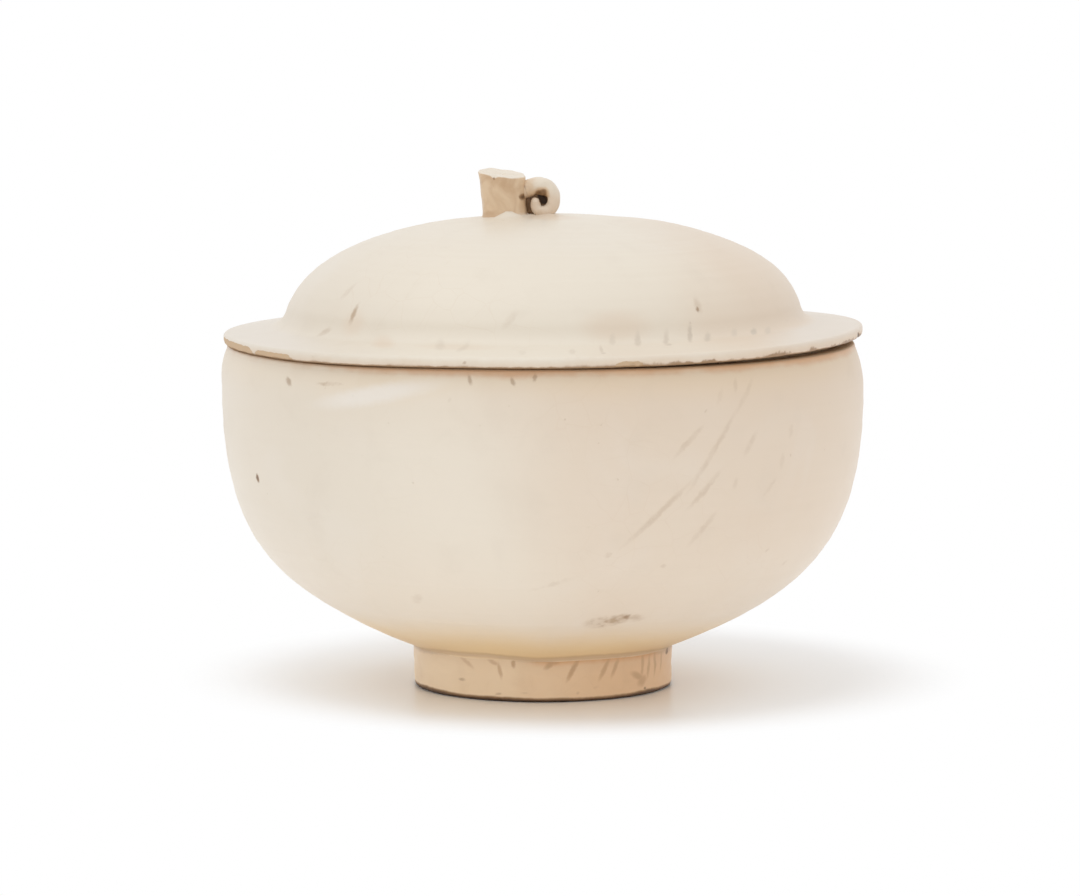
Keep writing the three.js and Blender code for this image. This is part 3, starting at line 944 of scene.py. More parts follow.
SEAM = (
    # degrees from the front, and the level of the seam between foot and bowl in millimetres
    (-180.0, 9.7),
    (-130.0, 9.9),
    (-67.0, 9.3),
    (-40.0, 10.3),
    (-22.0, 10.5),
    (-2.0, 9.5),
    (20.0, 10.1),
    (48.0, 9.8),
    (72.0, 8.9),
    (130.0, 9.6),
    (180.0, 9.7),
)
NICKED_EDGE = (1.2 * MM, 0.2 * MM)  # levels between which the nicks of the standing edge set in
NICK_PEAKS = (1.3, 2.6)  # unevenness between which a place of that edge becomes a nick
BARE_EDGE = (0.5 * MM, 0.1 * MM)  # levels between which the glaze gives way to clay
RECESS_LEVEL = 8.0  # height above the seam, in millimetres, that the glaze inside the foot ring looks like


def above_seam(height, angle):
    """Height above the wavy seam between foot and bowl, in millimetres."""
    places, levels = zip(*SEAM)
    return height / MM - np.interp(np.degrees(angle), places, levels)


def foot_ring_grid(foot):
    """Ring profile carried round the axis; its outside and its standing edge wander a little."""
    inner = foot.radius - foot.wall
    base = foot.radius - foot.taper
    profile = ring_profile(inner, base, foot.radius, 0.0, foot.height, foot.bevel, steps=(10, 44, 24))
    angle = round_angles(columns=320)
    radius, height = profile[:, :1], profile[:, 1:]
    outer = smooth_step(profile_normals(profile)[:, :1], 0.3, 0.9)
    slow = wander(angle, height, seed=5, turns=9, pitch=9.0 * MM)
    quick = wander(angle, height, seed=6, turns=34, pitch=4.0 * MM)
    radius = radius + outer * (slow + 0.5 * quick) * foot.unevenness
    nicks = smooth_step(wander(angle, height, seed=8, turns=60, pitch=20.0 * MM), *NICK_PEAKS)
    low = smooth_step(height, *NICKED_EDGE)
    radius = radius - outer * low * nicks * foot.nicks
    fields = {
        "bare": smooth_step(height, *BARE_EDGE),
        "grime_and_shade": smooth_step(radius, base - 2.0 * MM, base - 1.0 * MM),
        "seam": above_seam(height, angle),
    }
    return carried_round(radius, height, angle), fields


class COVEREDBOWL_OT_foot_ring(bpy.types.Operator):
    """Make the foot ring"""

    bl_idname = "covered_bowl.foot_ring"
    bl_label = "Foot ring"

    def execute(self, context):
        settings = context.scene.covered_bowl
        grid, fields = foot_ring_grid(settings.foot)
        piece = add_piece("turned_foot", grid, foot_glaze(settings.colours), capped=False, **fields)
        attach(piece, "bowl")
        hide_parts("foot_ring")
        return {"FINISHED"}


# Bowl

SKIRT_TUCK = 0.2 * MM  # how far inside the foot the lower edge of the skirt lies
SKIRT_ROOT = 1.2 * MM  # how far inside the foot the skirt starts
SKIRT_BULGE = (0.25 * MM, 0.2 * MM)  # control point of its curve, out from and above the corner
SAG_REACH = (-15.0 * MM, -55.0 * MM)  # places along X between which the rim sags
SWELL_MIDDLE = -0.5 * math.pi  # angle at which the rim stands out most
SWELL_WIDTH = 0.6  # radians to each side over which it stands out


def wall_curve(steps, start, end, slope):
    """Wall from the foot to the belly: it leaves at the slope and arrives upright."""
    reach = UNDERSIDE_FULLNESS * (end[0] - start[0])
    upright = BELLY_FULLNESS * (end[1] - start[1])
    low = (start[0] + reach * math.cos(slope), start[1] + reach * math.sin(slope))
    return bezier(steps, start, low, (end[0], end[1] - upright), end)


def mouth_curve(steps, start, end):
    """Wall from the belly to the lip: it leaves upright and draws in."""
    return bezier(steps, start, (start[0], (start[1] + end[1]) / 2.0), end)


def bowl_profile(bowl, foot):
    """Profile from the middle of the underside, up the outside, over the lip and down to the floor."""
    slope = bowl.underside_slope
    round_edge = bowl.lip_rounding
    lip, top = bowl.lip_radius, bowl.lip_height
    mouth = lip - bowl.lip_thickness
    corner = (foot.radius, foot.height)
    belly = (bowl.belly_radius, bowl.belly_height)
    inner_belly = (bowl.belly_radius - bowl.wall, bowl.belly_height)
    heel = (corner[0] - bowl.heel * math.sin(slope), corner[1] + bowl.heel * math.cos(slope))
    floor = heel[1] - bowl.floor_dip
    floor_edge = (heel[0] - bowl.floor_dip / math.tan(slope), floor)
    outer_wall = wall_curve(120, corner, belly, slope)
    first = np.searchsorted(outer_wall[:, 0], corner[0] + bowl.fillet)
    outer_wall = outer_wall[first:]
    skirt = (corner[0] - SKIRT_TUCK, corner[1] - bowl.skirt)
    hidden = (corner[0] - SKIRT_ROOT, corner[1])
    bulge = (corner[0] + SKIRT_BULGE[0], corner[1] + SKIRT_BULGE[1])
    return outline(
        bezier(16, (0.0, corner[1]), hidden),
        bezier(4, hidden, skirt),
        bezier(12, skirt, bulge, outer_wall[0]),
        outer_wall,
        mouth_curve(26, belly, (lip, top - round_edge)),
        bezier(6, (lip, top - round_edge), (lip, top), (lip - round_edge, top)),
        bezier(5, (lip - round_edge, top), (mouth + round_edge, top)),
        bezier(6, (mouth + round_edge, top), (mouth, top), (mouth, top - round_edge)),
        mouth_curve(14, inner_belly, (mouth, top - round_edge))[::-1],
        wall_curve(56, heel, inner_belly, slope)[::-1],
        bezier(16, heel, floor_edge, (0.0, floor)),
    )


def rim_sag(bowl, x):
    """How far the rim, and what rests on it, lies low at a place along X: an S-shaped fall towards -X."""
    return bowl.rim_sag * smooth_step(x, *SAG_REACH)


def bowl_grid(bowl, foot):
    """Bowl profile carried round the axis, moved along its normals by slow waves and throwing rings.

    Towards -X the rim stands out and sags a little.
    """
    profile = bowl_profile(bowl, foot)
    normals = profile_normals(profile)
    along = profile_lengths(profile)[:, None]
    angle = round_angles(columns=360)
    radius, height = profile[:, :1], profile[:, 1:]
    free = smooth_step(height, foot.height, foot.height + 8.0 * MM)
    free = free * smooth_step(height, bowl.lip_height - 1.0 * MM, bowl.lip_height - 9.0 * MM)
    free = free * smooth_step(radius, 4.0 * MM, 20.0 * MM)
    swell = free * throwing(bowl, angle, along, seed=11, swing=60.0 * MM, pitch=4.5 * MM)
    lip = smooth_step(height, bowl.lip_height - 6.0 * MM, bowl.lip_height)
    sag = lip * wander(angle, 0.0, seed=13, turns=5, pitch=1.0) * bowl.lip_waves
    rim = smooth_step(height, bowl.belly_height, bowl.lip_height - 2.0 * MM)
    sag = sag - rim * rim_sag(bowl, radius * np.sin(angle))
    left = rim * bell(angle, SWELL_MIDDLE, SWELL_WIDTH)
    radius = radius + normals[:, :1] * swell + left * bowl.rim_swell
    grid = carried_round(radius, height + normals[:, 1:] * swell + sag, angle)
    bare = smooth_step(height, bowl.lip_height - 0.5 * MM, bowl.lip_height - 0.05 * MM)
    outside = np.arange(len(profile))[:, None] <= np.argmax(profile[:, 1])
    seam = np.where(outside, above_seam(height, angle), bowl.lip_height / MM)
    recess = outside & (profile[:, :1] < foot.radius - foot.wall)
    seam = np.where(recess, RECESS_LEVEL, seam)
    return grid, {"bare": bare, "seam": seam, "outside": outside.astype(float)}


class COVEREDBOWL_OT_bowl(bpy.types.Operator):
    """Make the thrown bowl"""

    bl_idname = "covered_bowl.bowl"
    bl_label = "Bowl"

    def execute(self, context):
        settings = context.scene.covered_bowl
        grid, fields = bowl_grid(settings.bowl, settings.foot)
        piece = add_piece("thrown_bowl", grid, bowl_glaze(settings.colours), capped=True, **fields)
        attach(piece, "bowl")
        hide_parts("bowl_body")
        return {"FINISHED"}


# Cover

THROAT_ROUNDING = 1.2 * MM  # rounded edge where the inside of the dome meets the seat


def dome_curve(steps, start, crown, lean):
    """Dome from the flange to the crown: it leaves at the lean and arrives level."""
    side = DOME_SIDE_FULLNESS * (crown[1] - start[1])
    leaning = (start[0] - side * math.sin(lean), start[1] + side * math.cos(lean))
    return bezier(steps, start, leaning, (start[0] * DOME_CROWN_FULLNESS, crown[1]), crown)


def dome_root(cover):
    """Where the flange would meet the dome, and where the dome leaves the hollow between them."""
    root = np.array([
        cover.flange_radius - cover.flange_width,
        cover.seat_height + cover.flange_thickness + cover.flange_rise,
    ])
    start = root + cover.dome_fillet * np.array([-math.sin(cover.dome_lean), math.cos(cover.dome_lean)])
    return root, start


def dome_height(cover, x, y):
    """Level of the dome's outside over places on the cover, read off its curve."""
    curve = dome_curve(200, dome_root(cover)[1], (0.0, cover.crown_height), cover.dome_lean)
    return np.interp(np.hypot(x, y), curve[::-1, 0], curve[::-1, 1])


def cover_profile(cover):
    """Profile from the middle of the inside, down to the throat, round the flange and up the dome."""
    lean = cover.dome_lean
    root, start = dome_root(cover)
    edge, seat = cover.flange_radius, cover.seat_height
    top = seat + cover.flange_thickness
    round_edge = cover.flange_rounding
    climb = (root[1] - top) / (edge - round_edge - root[0])
    hollow = (root[0] + cover.dome_fillet, root[1] - cover.dome_fillet * climb)
    inner = start - cover.wall * np.array([math.cos(lean), math.sin(lean)])
    throat = (inner[0] + (inner[1] - seat) * math.tan(lean), seat)
    throat_up = (throat[0] - THROAT_ROUNDING * math.tan(lean), seat + THROAT_ROUNDING)
    throat_out = (throat[0] + THROAT_ROUNDING, seat)
    crown = (0.0, cover.crown_height)
    return outline(
        dome_curve(44, inner, (0.0, crown[1] - cover.wall), lean)[::-1],
        bezier(6, inner, throat_up),
        bezier(6, throat_up, throat, throat_out),
        bezier(16, throat_out, (edge - round_edge, seat)),
        bezier(7, (edge - round_edge, seat), (edge, seat), (edge, seat + round_edge)),
        bezier(3, (edge, seat + round_edge), (edge, top - round_edge)),
        bezier(7, (edge, top - round_edge), (edge, top), (edge - round_edge, top)),
        bezier(18, (edge - round_edge, top), hollow),
        bezier(9, hollow, root, start),
        dome_curve(110, start, crown, lean),
    )


class Nick(NamedTuple):
    """A chip or a worn stretch on the lower edge of the flange."""

    angle: float  # degrees round from the front, towards +X
    half: float  # degrees from its middle to its end
    depth: float  # millimetres into the edge
    tall: float  # millimetres above the underside
    dirt: float
    corner: float = 4.0  # how square the outline of its ends is


EDGE_NICKS = (
    Nick(-75.3, 13.4, 0.12, 2.1, 0.0, 12.0),
    Nick(-55.4, 6.3, 0.16, 1.75, 0.14, 16.0),
    Nick(15.0, 3.4, 0.35, 1.7, 0.2),
    Nick(29.5, 8.0, 0.2, 0.7, 0.7),
    Nick(48.3, 1.8, 0.25, 0.8, 0.6),
    Nick(57.8, 2.2, 0.22, 0.9, 0.55),
    Nick(78.2, 1.6, 0.4, 1.9, 0.95),
    Nick(-43.2, 1.6, 0.2, 0.9, 0.6),
    Nick(112.0, 2.4, 0.35, 1.4, 0.5),
    Nick(-151.0, 2.6, 0.4, 1.6, 0.5),
    Nick(173.0, 1.6, 0.25, 1.1, 0.6),
)


def warped(cover, bowl, points):
    """Firing warp of the cover: the flange follows the rim and lifts steeply towards +X, as the fifth power.

    The dome sways towards +X, the more the higher it is.
    """
    moved = points.copy()
    base = cover.seat_height + cover.flange_thickness
    climb = np.clip((points[..., 2] - base) / (cover.crown_height - base), 0.0, 1.0)
    moved[..., 0] += cover.warp_sway * climb
    across = 1.0 + points[..., 0] / cover.flange_radius
    lift = cover.warp_lift * across**5 - cover.settling - rim_sag(bowl, points[..., 0])
    moved[..., 2] += (1.0 - climb) * lift
    return moved


NICK_ROUGHNESS = 0.35  # how far the depth of a nick varies, as a share of it
NICK_SOFT = 0.8  # millimetres over which a nick runs out upwards


def edge_wear(cover, radius, height, angle):
    """Depth of the wear along the flange's edge, and how far each place is bare and grimy.

    Each nick has an outline like a flat arch over the lower edge.
    """
    degrees = np.degrees(angle)
    edge = smooth_step(radius, cover.flange_radius - 1.8 * MM, cover.flange_radius - 0.3 * MM)
    rise = (height - cover.seat_height) / MM
    rough = 1.0 + NICK_ROUGHNESS * wander(angle, height, seed=31, turns=120, pitch=2.0 * MM)
    depth = 0.0
    bare = 0.0
    grime_and_shade = 0.0
    for nick in EDGE_NICKS:
        arch = np.clip(1.0 - ((degrees - nick.angle) / nick.half) ** nick.corner, 0.0, 1.0)
        top = nick.tall * arch
        inside = smooth_step(rise, top, top - NICK_SOFT) * smooth_step(arch, 0.0, 0.3)
        depth = np.maximum(depth, inside * nick.depth * MM)
        bare = np.maximum(bare, inside * (1.0 - nick.dirt))
        grime_and_shade = np.maximum(grime_and_shade, inside * nick.dirt)
    return edge * depth * rough, edge * bare, edge * grime_and_shade


class Mound(NamedTuple):
    """A soft heap of luting clay on the dome."""

    x: float
    y: float
    stretch: float  # how many times longer it is along X than along Y
    reach: float
    height: float


CURL_MOUND = Mound(x=0.2 * MM, y=-1.3 * MM, stretch=1.6, reach=1.6 * MM, height=0.7 * MM)
STALK_MOUND = Mound(x=-0.2 * MM, y=-0.3 * MM, stretch=1.8, reach=1.3 * MM, height=1.5 * MM)
FILLET_REACH = 1.0 * MM  # width of the ring of luting clay round the stalk
FILLET_HEIGHT = 0.4 * MM  # height of that ring above the dome


def luting(knob, grid):
    """Height of the luting clay on the dome: a ring and a lump at the stalk, and a mound under the curl.

    Each is a bell curve of the distance, and the highest counts.
    """
    x, y = grid[..., 0], grid[..., 1]
    from_stalk = np.hypot(x - knob.stalk_x, y)
    highest = bell(from_stalk, knob.stalk_base, FILLET_REACH) * FILLET_HEIGHT
    lump = STALK_MOUND._replace(x=knob.stalk_x + STALK_MOUND.x, y=STALK_MOUND.y - knob.stalk_base)
    for mound in (CURL_MOUND, lump):
        away = np.hypot((x - mound.x) / mound.stretch, y - mound.y)
        highest = np.maximum(highest, bell(away, 0.0, mound.reach) * mound.height)
    return highest


def cover_grid(cover, knob, bowl):
    """Cover profile carried round the axis, with slow waves, turning rings, a worn edge, luting and warp."""
    profile = cover_profile(cover)
    normals = profile_normals(profile)
    along = profile_lengths(profile)[:, None]
    angle = round_angles(columns=400)
    radius, height = profile[:, :1], profile[:, 1:]
    free = smooth_step(height, cover.seat_height + 1.0 * MM, cover.seat_height + 9.0 * MM)
    free = free * smooth_step(radius, 10.0 * MM, 26.0 * MM)
    swell = free * throwing(cover, angle, along, seed=21, swing=55.0 * MM, pitch=5.0 * MM)
    flange = smooth_step(radius, cover.flange_radius - 9.0 * MM, cover.flange_radius)
    ripple = flange * wander(angle, 0.0, seed=23, turns=6, pitch=1.0) * cover.flange_waves
    depth, bare, grime_and_shade = edge_wear(cover, radius, height, angle)
    moved = radius + normals[:, :1] * swell - depth
    grid = carried_round(moved, height + normals[:, 1:] * swell + ripple, angle)
    outside = smooth_step(normals[:, 1:], 0.2, 0.7)
    grid[..., 2] += outside * luting(knob, grid)
    under = smooth_step(-normals[:, 1:], 0.8, 0.95)
    under = under * smooth_step(height, cover.seat_height + 0.6 * MM, cover.seat_height)
    upper_edge = along[np.argmax(profile.sum(axis=1))]
    fields = {
        "bare": np.maximum(bare, under),
        "grime_and_shade": grime_and_shade,
        "rise": (height - cover.seat_height) / MM,
        "inward": (along - upper_edge) / MM,
    }
    return warped(cover, bowl, grid), fields


class COVEREDBOWL_OT_cover(bpy.types.Operator):
    """Make the domed cover"""

    bl_idname = "covered_bowl.cover"
    bl_label = "Cover"

    def execute(self, context):
        settings = context.scene.covered_bowl
        grid, fields = cover_grid(settings.cover, settings.knob, settings.bowl)
        piece = add_piece("domed_cover", grid, cover_glaze(settings.colours), capped=True, **fields)
        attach(piece, "cover")
        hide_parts("cover_shell")
        return {"FINISHED"}


def collar_grid(cover, bowl):
    """Collar profile carried round the axis, slightly uneven and warped with the cover."""
    outer = cover.collar_radius
    inner = outer - cover.collar_thickness
    low, top = cover.collar_foot, cover.seat_height
    profile = ring_profile(inner, outer, outer, low, top, cover.collar_bevel, steps=(8, 14, 14))
    angle = round_angles(columns=300)
    radius, height = profile[:, :1], profile[:, 1:]
    uneven = wander(angle, height, seed=41, turns=7, pitch=6.0 * MM) * cover.collar_unevenness
    return warped(cover, bowl, carried_round(radius + uneven, height, angle))


class COVEREDBOWL_OT_collar(bpy.types.Operator):
    """Make the collar under the cover"""

    bl_idname = "covered_bowl.collar"
    bl_label = "Locating collar"

    def execute(self, context):
        settings = context.scene.covered_bowl
        grid = collar_grid(settings.cover, settings.bowl)
        piece = add_piece("luted_collar", grid, bare_clay(settings.colours), capped=False)
        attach(piece, "cover")
        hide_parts("locating_collar")
        return {"FINISHED"}


# Knob

STALK_SINK = 0.35 * MM  # how far the stalk reaches into the dome
STALK_FLARE = 0.75 * MM  # how far it spreads where it meets the dome
FLARE_REACH = 0.05  # share of the stalk's height over which it spreads
STALK_EDGE = 0.3 * MM  # rounding of the cut's edge
STALK_DISH = 0.25 * MM  # how hollow the face of the cut is
NOTCH_DEPTH = 0.45 * MM  # depth of the notch in the cut's edge
NOTCH_PLACE = (-0.36, 0.13)  # angle of that notch from the front, and its width, in radians
NOTCH_INWARD = (3.6 * MM, 4.8 * MM)  # radii between which it sets in
NECK_LEVEL = 0.3  # level of the slimmest place, as a share of the height
DENT_SHADE_PLACE = (1.03, 0.4)  # angle and width of the painted shade of a dent in the stalk's side
DENT_SHADE_LEVEL = (0.53, 0.15)  # level and height of that painted shade, as shares of the stalk's height


class Wave(NamedTuple):
    """A wave round the stalk."""

    turns: float
    height: float
    phase: float


STALK_RIDGES = (  # heights are shares of the radius
    Wave(5.0, 0.016, 0.6),
    Wave(8.0, 0.010, 2.1),
    Wave(17.0, 0.005, 0.0),
)
CUT_WAVES = (
    Wave(3.0, 0.07 * MM, 1.1),
    Wave(7.0, 0.05 * MM, 0.0),
)


def waves_round(angle, waves):
    """Sum of cosines of the angle, one for each wave."""
    return sum(wave.height * np.cos(wave.turns * angle + wave.phase) for wave in waves)


def stalk_grid(cover, knob):
    """Stalk: rings from below the dome's skin up to a slanted cut, over its rounded edge and across its face.

    The radius narrows to a neck and widens to both ends, with ridges up the sides. The face is dished
    and has a notch in its edge.
    """
    phi = round_angles(columns=144)
    side = np.linspace(0.0, 1.0, 60)[:, None]
    roll = np.linspace(0.0, 0.5 * math.pi, 9)[1:, None]
    face = np.linspace(1.0, 0.0, 16)[1:, None]
    low = np.clip(1.0 - side / NECK_LEVEL, 0.0, 1.0) ** 2
    high = np.clip((side - NECK_LEVEL) / (1.0 - NECK_LEVEL), 0.0, 1.0) ** 1.4
    width = knob.stalk_neck + (knob.stalk_base - knob.stalk_neck) * low
    width = width + (knob.stalk_top - knob.stalk_neck) * high
    width = width + STALK_FLARE * np.exp(-side / FLARE_REACH)
    brim = width[-1] - STALK_EDGE
    dished = STALK_EDGE - STALK_DISH * (1.0 - face**2)
    radius = np.vstack([[[0.0]], width, brim + STALK_EDGE * np.cos(roll), brim * face])
    level = np.vstack([[[0.0]], side, np.ones_like(roll), np.ones_like(face)])
    lift = np.vstack([[[0.0]], 0.0 * side, STALK_EDGE * np.sin(roll), dished])
    bumps = 0.01 * wander(phi, level * knob.stalk_height, seed=51, turns=9, pitch=5.0 * MM)
    radius = radius * (1.0 + waves_round(phi, STALK_RIDGES) * (0.4 + 0.6 * level) + bumps)
    across = radius * np.sin(phi)
    deep = -radius * np.cos(phi)
    base = dome_height(cover, knob.stalk_x + across, deep) - STALK_SINK
    notch = bell(phi, *NOTCH_PLACE) * smooth_step(radius, *NOTCH_INWARD)
    cut = dome_height(cover, knob.stalk_x, 0.0) + knob.stalk_height - STALK_EDGE
    cut = cut - across * math.tan(knob.cut_side) + deep * math.tan(knob.cut_front)
    cut = cut + waves_round(phi, CUT_WAVES) - NOTCH_DEPTH * notch
    rise = (cut - base) * level + lift
    x = knob.stalk_x + across - rise * math.tan(knob.stalk_lean)
    grid = np.stack([x, deep, base + rise], axis=2)
    pooled = smooth_step(side, 0.2, 0.04) * smooth_step(phi, -0.9, 0.3)
    raised = np.vstack([0.0 * phi, pooled, np.sin(roll) + 0.0 * phi, np.ones_like(face) + 0.0 * phi])
    seat = bell(level, 0.03, 0.05) * 0.25
    # Painted shade of a dent in the stalk's side, with no dent in its shape.
    dent_shade = bell(phi, *DENT_SHADE_PLACE) * bell(level, *DENT_SHADE_LEVEL) * 0.72
    nicked = notch * smooth_step(level, 0.9, 1.0) * 0.6
    return grid, {"raised": raised, "grime_and_shade": np.maximum(seat, np.maximum(dent_shade, nicked))}


class COVEREDBOWL_OT_stalk(bpy.types.Operator):
    """Make the cut stalk"""

    bl_idname = "covered_bowl.stalk"
    bl_label = "Stalk"

    def execute(self, context):
        settings = context.scene.covered_bowl
        grid, fields = stalk_grid(settings.cover, settings.knob)
        piece = add_piece("cut_stalk", grid, knob_glaze(settings.colours), capped=True, **fields)
        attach(piece, "cover")
        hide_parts("stalk_knob")
        return {"FINISHED"}


def smooth_path(points, steps):
    """Curve through the points: cubic spans, whose end slopes are half the chord between neighbours."""
    ends = np.vstack([2.0 * points[0] - points[1], points, 2.0 * points[-1] - points[-2]])
    spans = len(points) - 1
    before, start, end, after = (ends[i:spans + i][:, None, :] for i in range(4))
    t = np.linspace(0.0, 1.0, steps, endpoint=False)[None, :, None]
    bend = 2.0 * before - 5.0 * start + 4.0 * end - after
    twist = 3.0 * start - before - 3.0 * end + after
    curve = 0.5 * (2.0 * start + (end - before) * t + bend * t**2 + twist * t**3)
    return np.vstack([curve.reshape(-1, 3), points[-1:]])


CURL_PATH = np.array([
    # along X and above the crown in millimetres, and radius as a share of the arch's
    (-5.2, 5.10, 1.04),
    (-3.4, 5.72, 0.98),
    (-1.6, 6.36, 1.00),
    (-0.2, 6.30, 1.00),
    (1.15, 5.75, 0.94),
    (2.0, 4.60, 0.85),
    (2.25, 3.40, 0.78),
    (2.1, 2.20, 0.74),
    (1.4, 1.25, 0.70),
    (0.2, 0.95, 0.66),
    (-1.0, 1.20, 0.62),
    (-1.55, 2.05, 0.57),
    (-1.58, 3.05, 0.53),
    (-1.4, 3.90, 0.50),
])
TIP_SHARE = 0.05  # share of the tendril's length over which its tip is rounded
ROOT_PLACE = (0.1, 0.03)  # place and width of the painted shade in the crease at its root, as shares of the length
CURL_MIDDLE = (0.1 * MM, 3.5 * MM)  # along X and above the crown
CURL_EYE = (0.3 * MM, 3.9 * MM)  # hole of the curl, in the same way
WEB_MIDDLE = (-1.1 * MM, 0.3 * MM, 2.7 * MM)  # along X and Y, and above the crown
WEB_RADIUS = 3.2 * MM
WEB_HALF = 0.6 * MM  # half of its thickness


def tendril_grid(cover, knob):
    """Tendril: a tube along a path that leaves the stalk, arches over, comes forward and curls in.

    The tube thins towards a round tip. It is ivory outside the curl, with painted shade inside the curl,
    under its arch and in the crease where it leaves the stalk.
    """
    path = smooth_path(CURL_PATH, 14)
    along = profile_lengths(path[:, :2])
    along = along / along[-1]
    height = cover.crown_height + path[:, 1] * MM
    middle = np.stack([path[:, 0] * MM, -knob.curl_drift * along, height], axis=1)
    tip = np.clip((1.0 - along) / TIP_SHARE, 0.0, 1.0)
    thickness = knob.curl_thickness * path[:, 2] * np.sqrt(1.0 - (1.0 - tip) ** 2)
    thickness[0] = 0.0
    ahead = np.gradient(middle, axis=0)
    ahead = ahead / np.linalg.norm(ahead, axis=1, keepdims=True)
    out = np.cross(ahead, np.array([0.0, 1.0, 0.0]))
    out = out / np.linalg.norm(out, axis=1, keepdims=True)
    beside = np.cross(ahead, out)
    phi = round_angles(columns=56)
    along = along[:, None]
    lumps = 1.0 + 0.04 * wander(phi, along * 20.0 * MM, seed=61, turns=3, pitch=6.0 * MM)
    reach = (thickness[:, None] * lumps)[..., None]
    ring = out[:, None, :] * np.cos(phi)[..., None] + beside[:, None, :] * np.sin(phi)[..., None]
    grid = middle[:, None, :] + reach * ring
    x, above = grid[..., 0], grid[..., 2] - cover.crown_height
    from_middle = np.hypot(x - CURL_MIDDLE[0], above - CURL_MIDDLE[1])
    over = smooth_step(above, CURL_MIDDLE[1], CURL_MIDDLE[1] + 0.8 * MM)
    # Painted shade under the arch: darker there, and without the ivory of the outside.
    under_arch_shade = over * smooth_step(x, 2.2 * MM, 0.4 * MM) * smooth_step(from_middle, 3.4 * MM, 1.9 * MM)
    raised = (0.45 + 0.55 * smooth_step(along, 0.14, 0.34)) * (1.0 - 0.95 * under_arch_shade)
    # Painted shade in the middle of the curl, and in the crease at the root.
    hollow = smooth_step(from_middle, 1.35 * MM, 0.75 * MM)
    root = bell(along, *ROOT_PLACE)
    grime_and_shade = np.maximum(np.maximum(hollow * 0.8, under_arch_shade * 0.62), root * 0.45)
    return grid, {"raised": raised, "grime_and_shade": grime_and_shade}


def web_grid(cover):
    """Web that closes the curl from behind: a thin pillow, rounded to both faces and painted dark in front as
    the shade in the curl's eye.

    Its radius goes as a power of the sine of the tilt, and its thickness as the cosine.
    """
    tilt = np.linspace(0.0, math.pi, 24)[:, None]
    phi = round_angles(columns=48)
    spread = WEB_RADIUS * np.sin(tilt) ** 0.6
    x = WEB_MIDDLE[0] + spread * np.sin(phi)
    y = WEB_MIDDLE[1] - WEB_HALF * np.cos(tilt) + 0.0 * phi
    above = WEB_MIDDLE[2] + spread * np.cos(phi)
    front = smooth_step(np.cos(tilt), -0.3, 0.3)
    deep = smooth_step(np.hypot(x - CURL_EYE[0], above - CURL_EYE[1]), 1.7 * MM, 1.0 * MM)
    grid = np.stack([x, y, cover.crown_height + above], axis=2)
    # Painted shade on the web's front, darkest in the curl's eye.
    return grid, {"raised": np.zeros((1, 1)), "grime_and_shade": front * (0.64 + 0.36 * deep)}


class COVEREDBOWL_OT_tendril(bpy.types.Operator):
    """Make the curling tendril"""

    bl_idname = "covered_bowl.tendril"
    bl_label = "Tendril"

    def execute(self, context):
        settings = context.scene.covered_bowl
        material = knob_glaze(settings.colours)
        grid, fields = tendril_grid(settings.cover, settings.knob)
        tendril = add_piece("curled_tendril", grid, material, capped=True, **fields)
        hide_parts("tendril_curl")
        grid, fields = web_grid(settings.cover)
        web = add_piece("curl_web", grid, material, capped=True, **fields)
        for piece in (tendril, web):
            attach(piece, "cover")
        return {"FINISHED"}


# Stage

WHITE = (1.0, 1.0, 1.0, 1.0)
PAPER = (0.94, 0.945, 0.955, 1.0)  # linear colour of the floor
PAPER_ROUGHNESS = 0.3
PAPER_SPECULAR = 0.1
FLOOR_HALF = 3.0  # metres from the middle of the floor to its sides
FLOOR_DROP = 0.1 * MM  # how far the floor lies below the standing face
SHADING_MIDDLE = (7.0 * MM, 13.0 * MM, 0.0)  # middle of the shaded part of the floor
SHADING_WHOLE = 0.66  # share of its reach over which the shading is whole
LAMP_PLACE = (-0.45, -0.25, 1.2)
LAMP_TARGET = (0.0, 0.0, 0.05)
TABLE_PLACE = (0.0, 0.0, 0.2 * MM)
TABLE_TARGET = (0.0, 0.0, 1.0)
SENSOR_WIDTH = 36.0  # millimetres
NEAREST_SEEN = 0.01  # metres from the camera


def seen_directly(paint):
    """1 for rays from the camera, mirrors and glass, 0 for rays that carry light."""
    path = paint.node("ShaderNodeLightPath", {}, {}, "Is Camera Ray")
    return path | path.out("Is Glossy Ray") | path.out("Is Transmission Ray")


def make_floor(studio):
    """Pale floor that keeps the object's shadow and goes over to white away from it."""
    sides = ((-1.0, -1.0), (1.0, -1.0), (1.0, 1.0), (-1.0, 1.0))
    corners = [(x * FLOOR_HALF, y * FLOOR_HALF, -FLOOR_DROP) for x, y in sides]
    mesh = bpy.data.meshes.new("floor")
    mesh.from_pydata(corners, [], [(0, 1, 2, 3)])
    material, paint = new_paint("floor_paper")
    shader = paint.tree.nodes["Principled BSDF"]
    inputs = {"Base Color": PAPER, "Roughness": PAPER_ROUGHNESS, "Specular IOR Level": PAPER_SPECULAR}
    paint.connect(shader, inputs)
    shaded = Tone(paint, shader.outputs[0])
    away = paint.distance(paint.place(), SHADING_MIDDLE)
    faded = paint.between(away, SHADING_WHOLE * studio.floor_reach, studio.floor_reach)
    plain = paint.node("ShaderNodeEmission", {}, {"Color": WHITE, "Strength": 1.0})
    both = paint.node("ShaderNodeMixShader", {}, {0: faded * seen_directly(paint), 1: shaded, 2: plain})
    paint.connect(paint.tree.nodes["Material Output"], {"Surface": both})
    mesh.materials.append(material)
    floor = bpy.data.objects.new("floor", mesh)
    bpy.context.scene.collection.objects.link(floor)


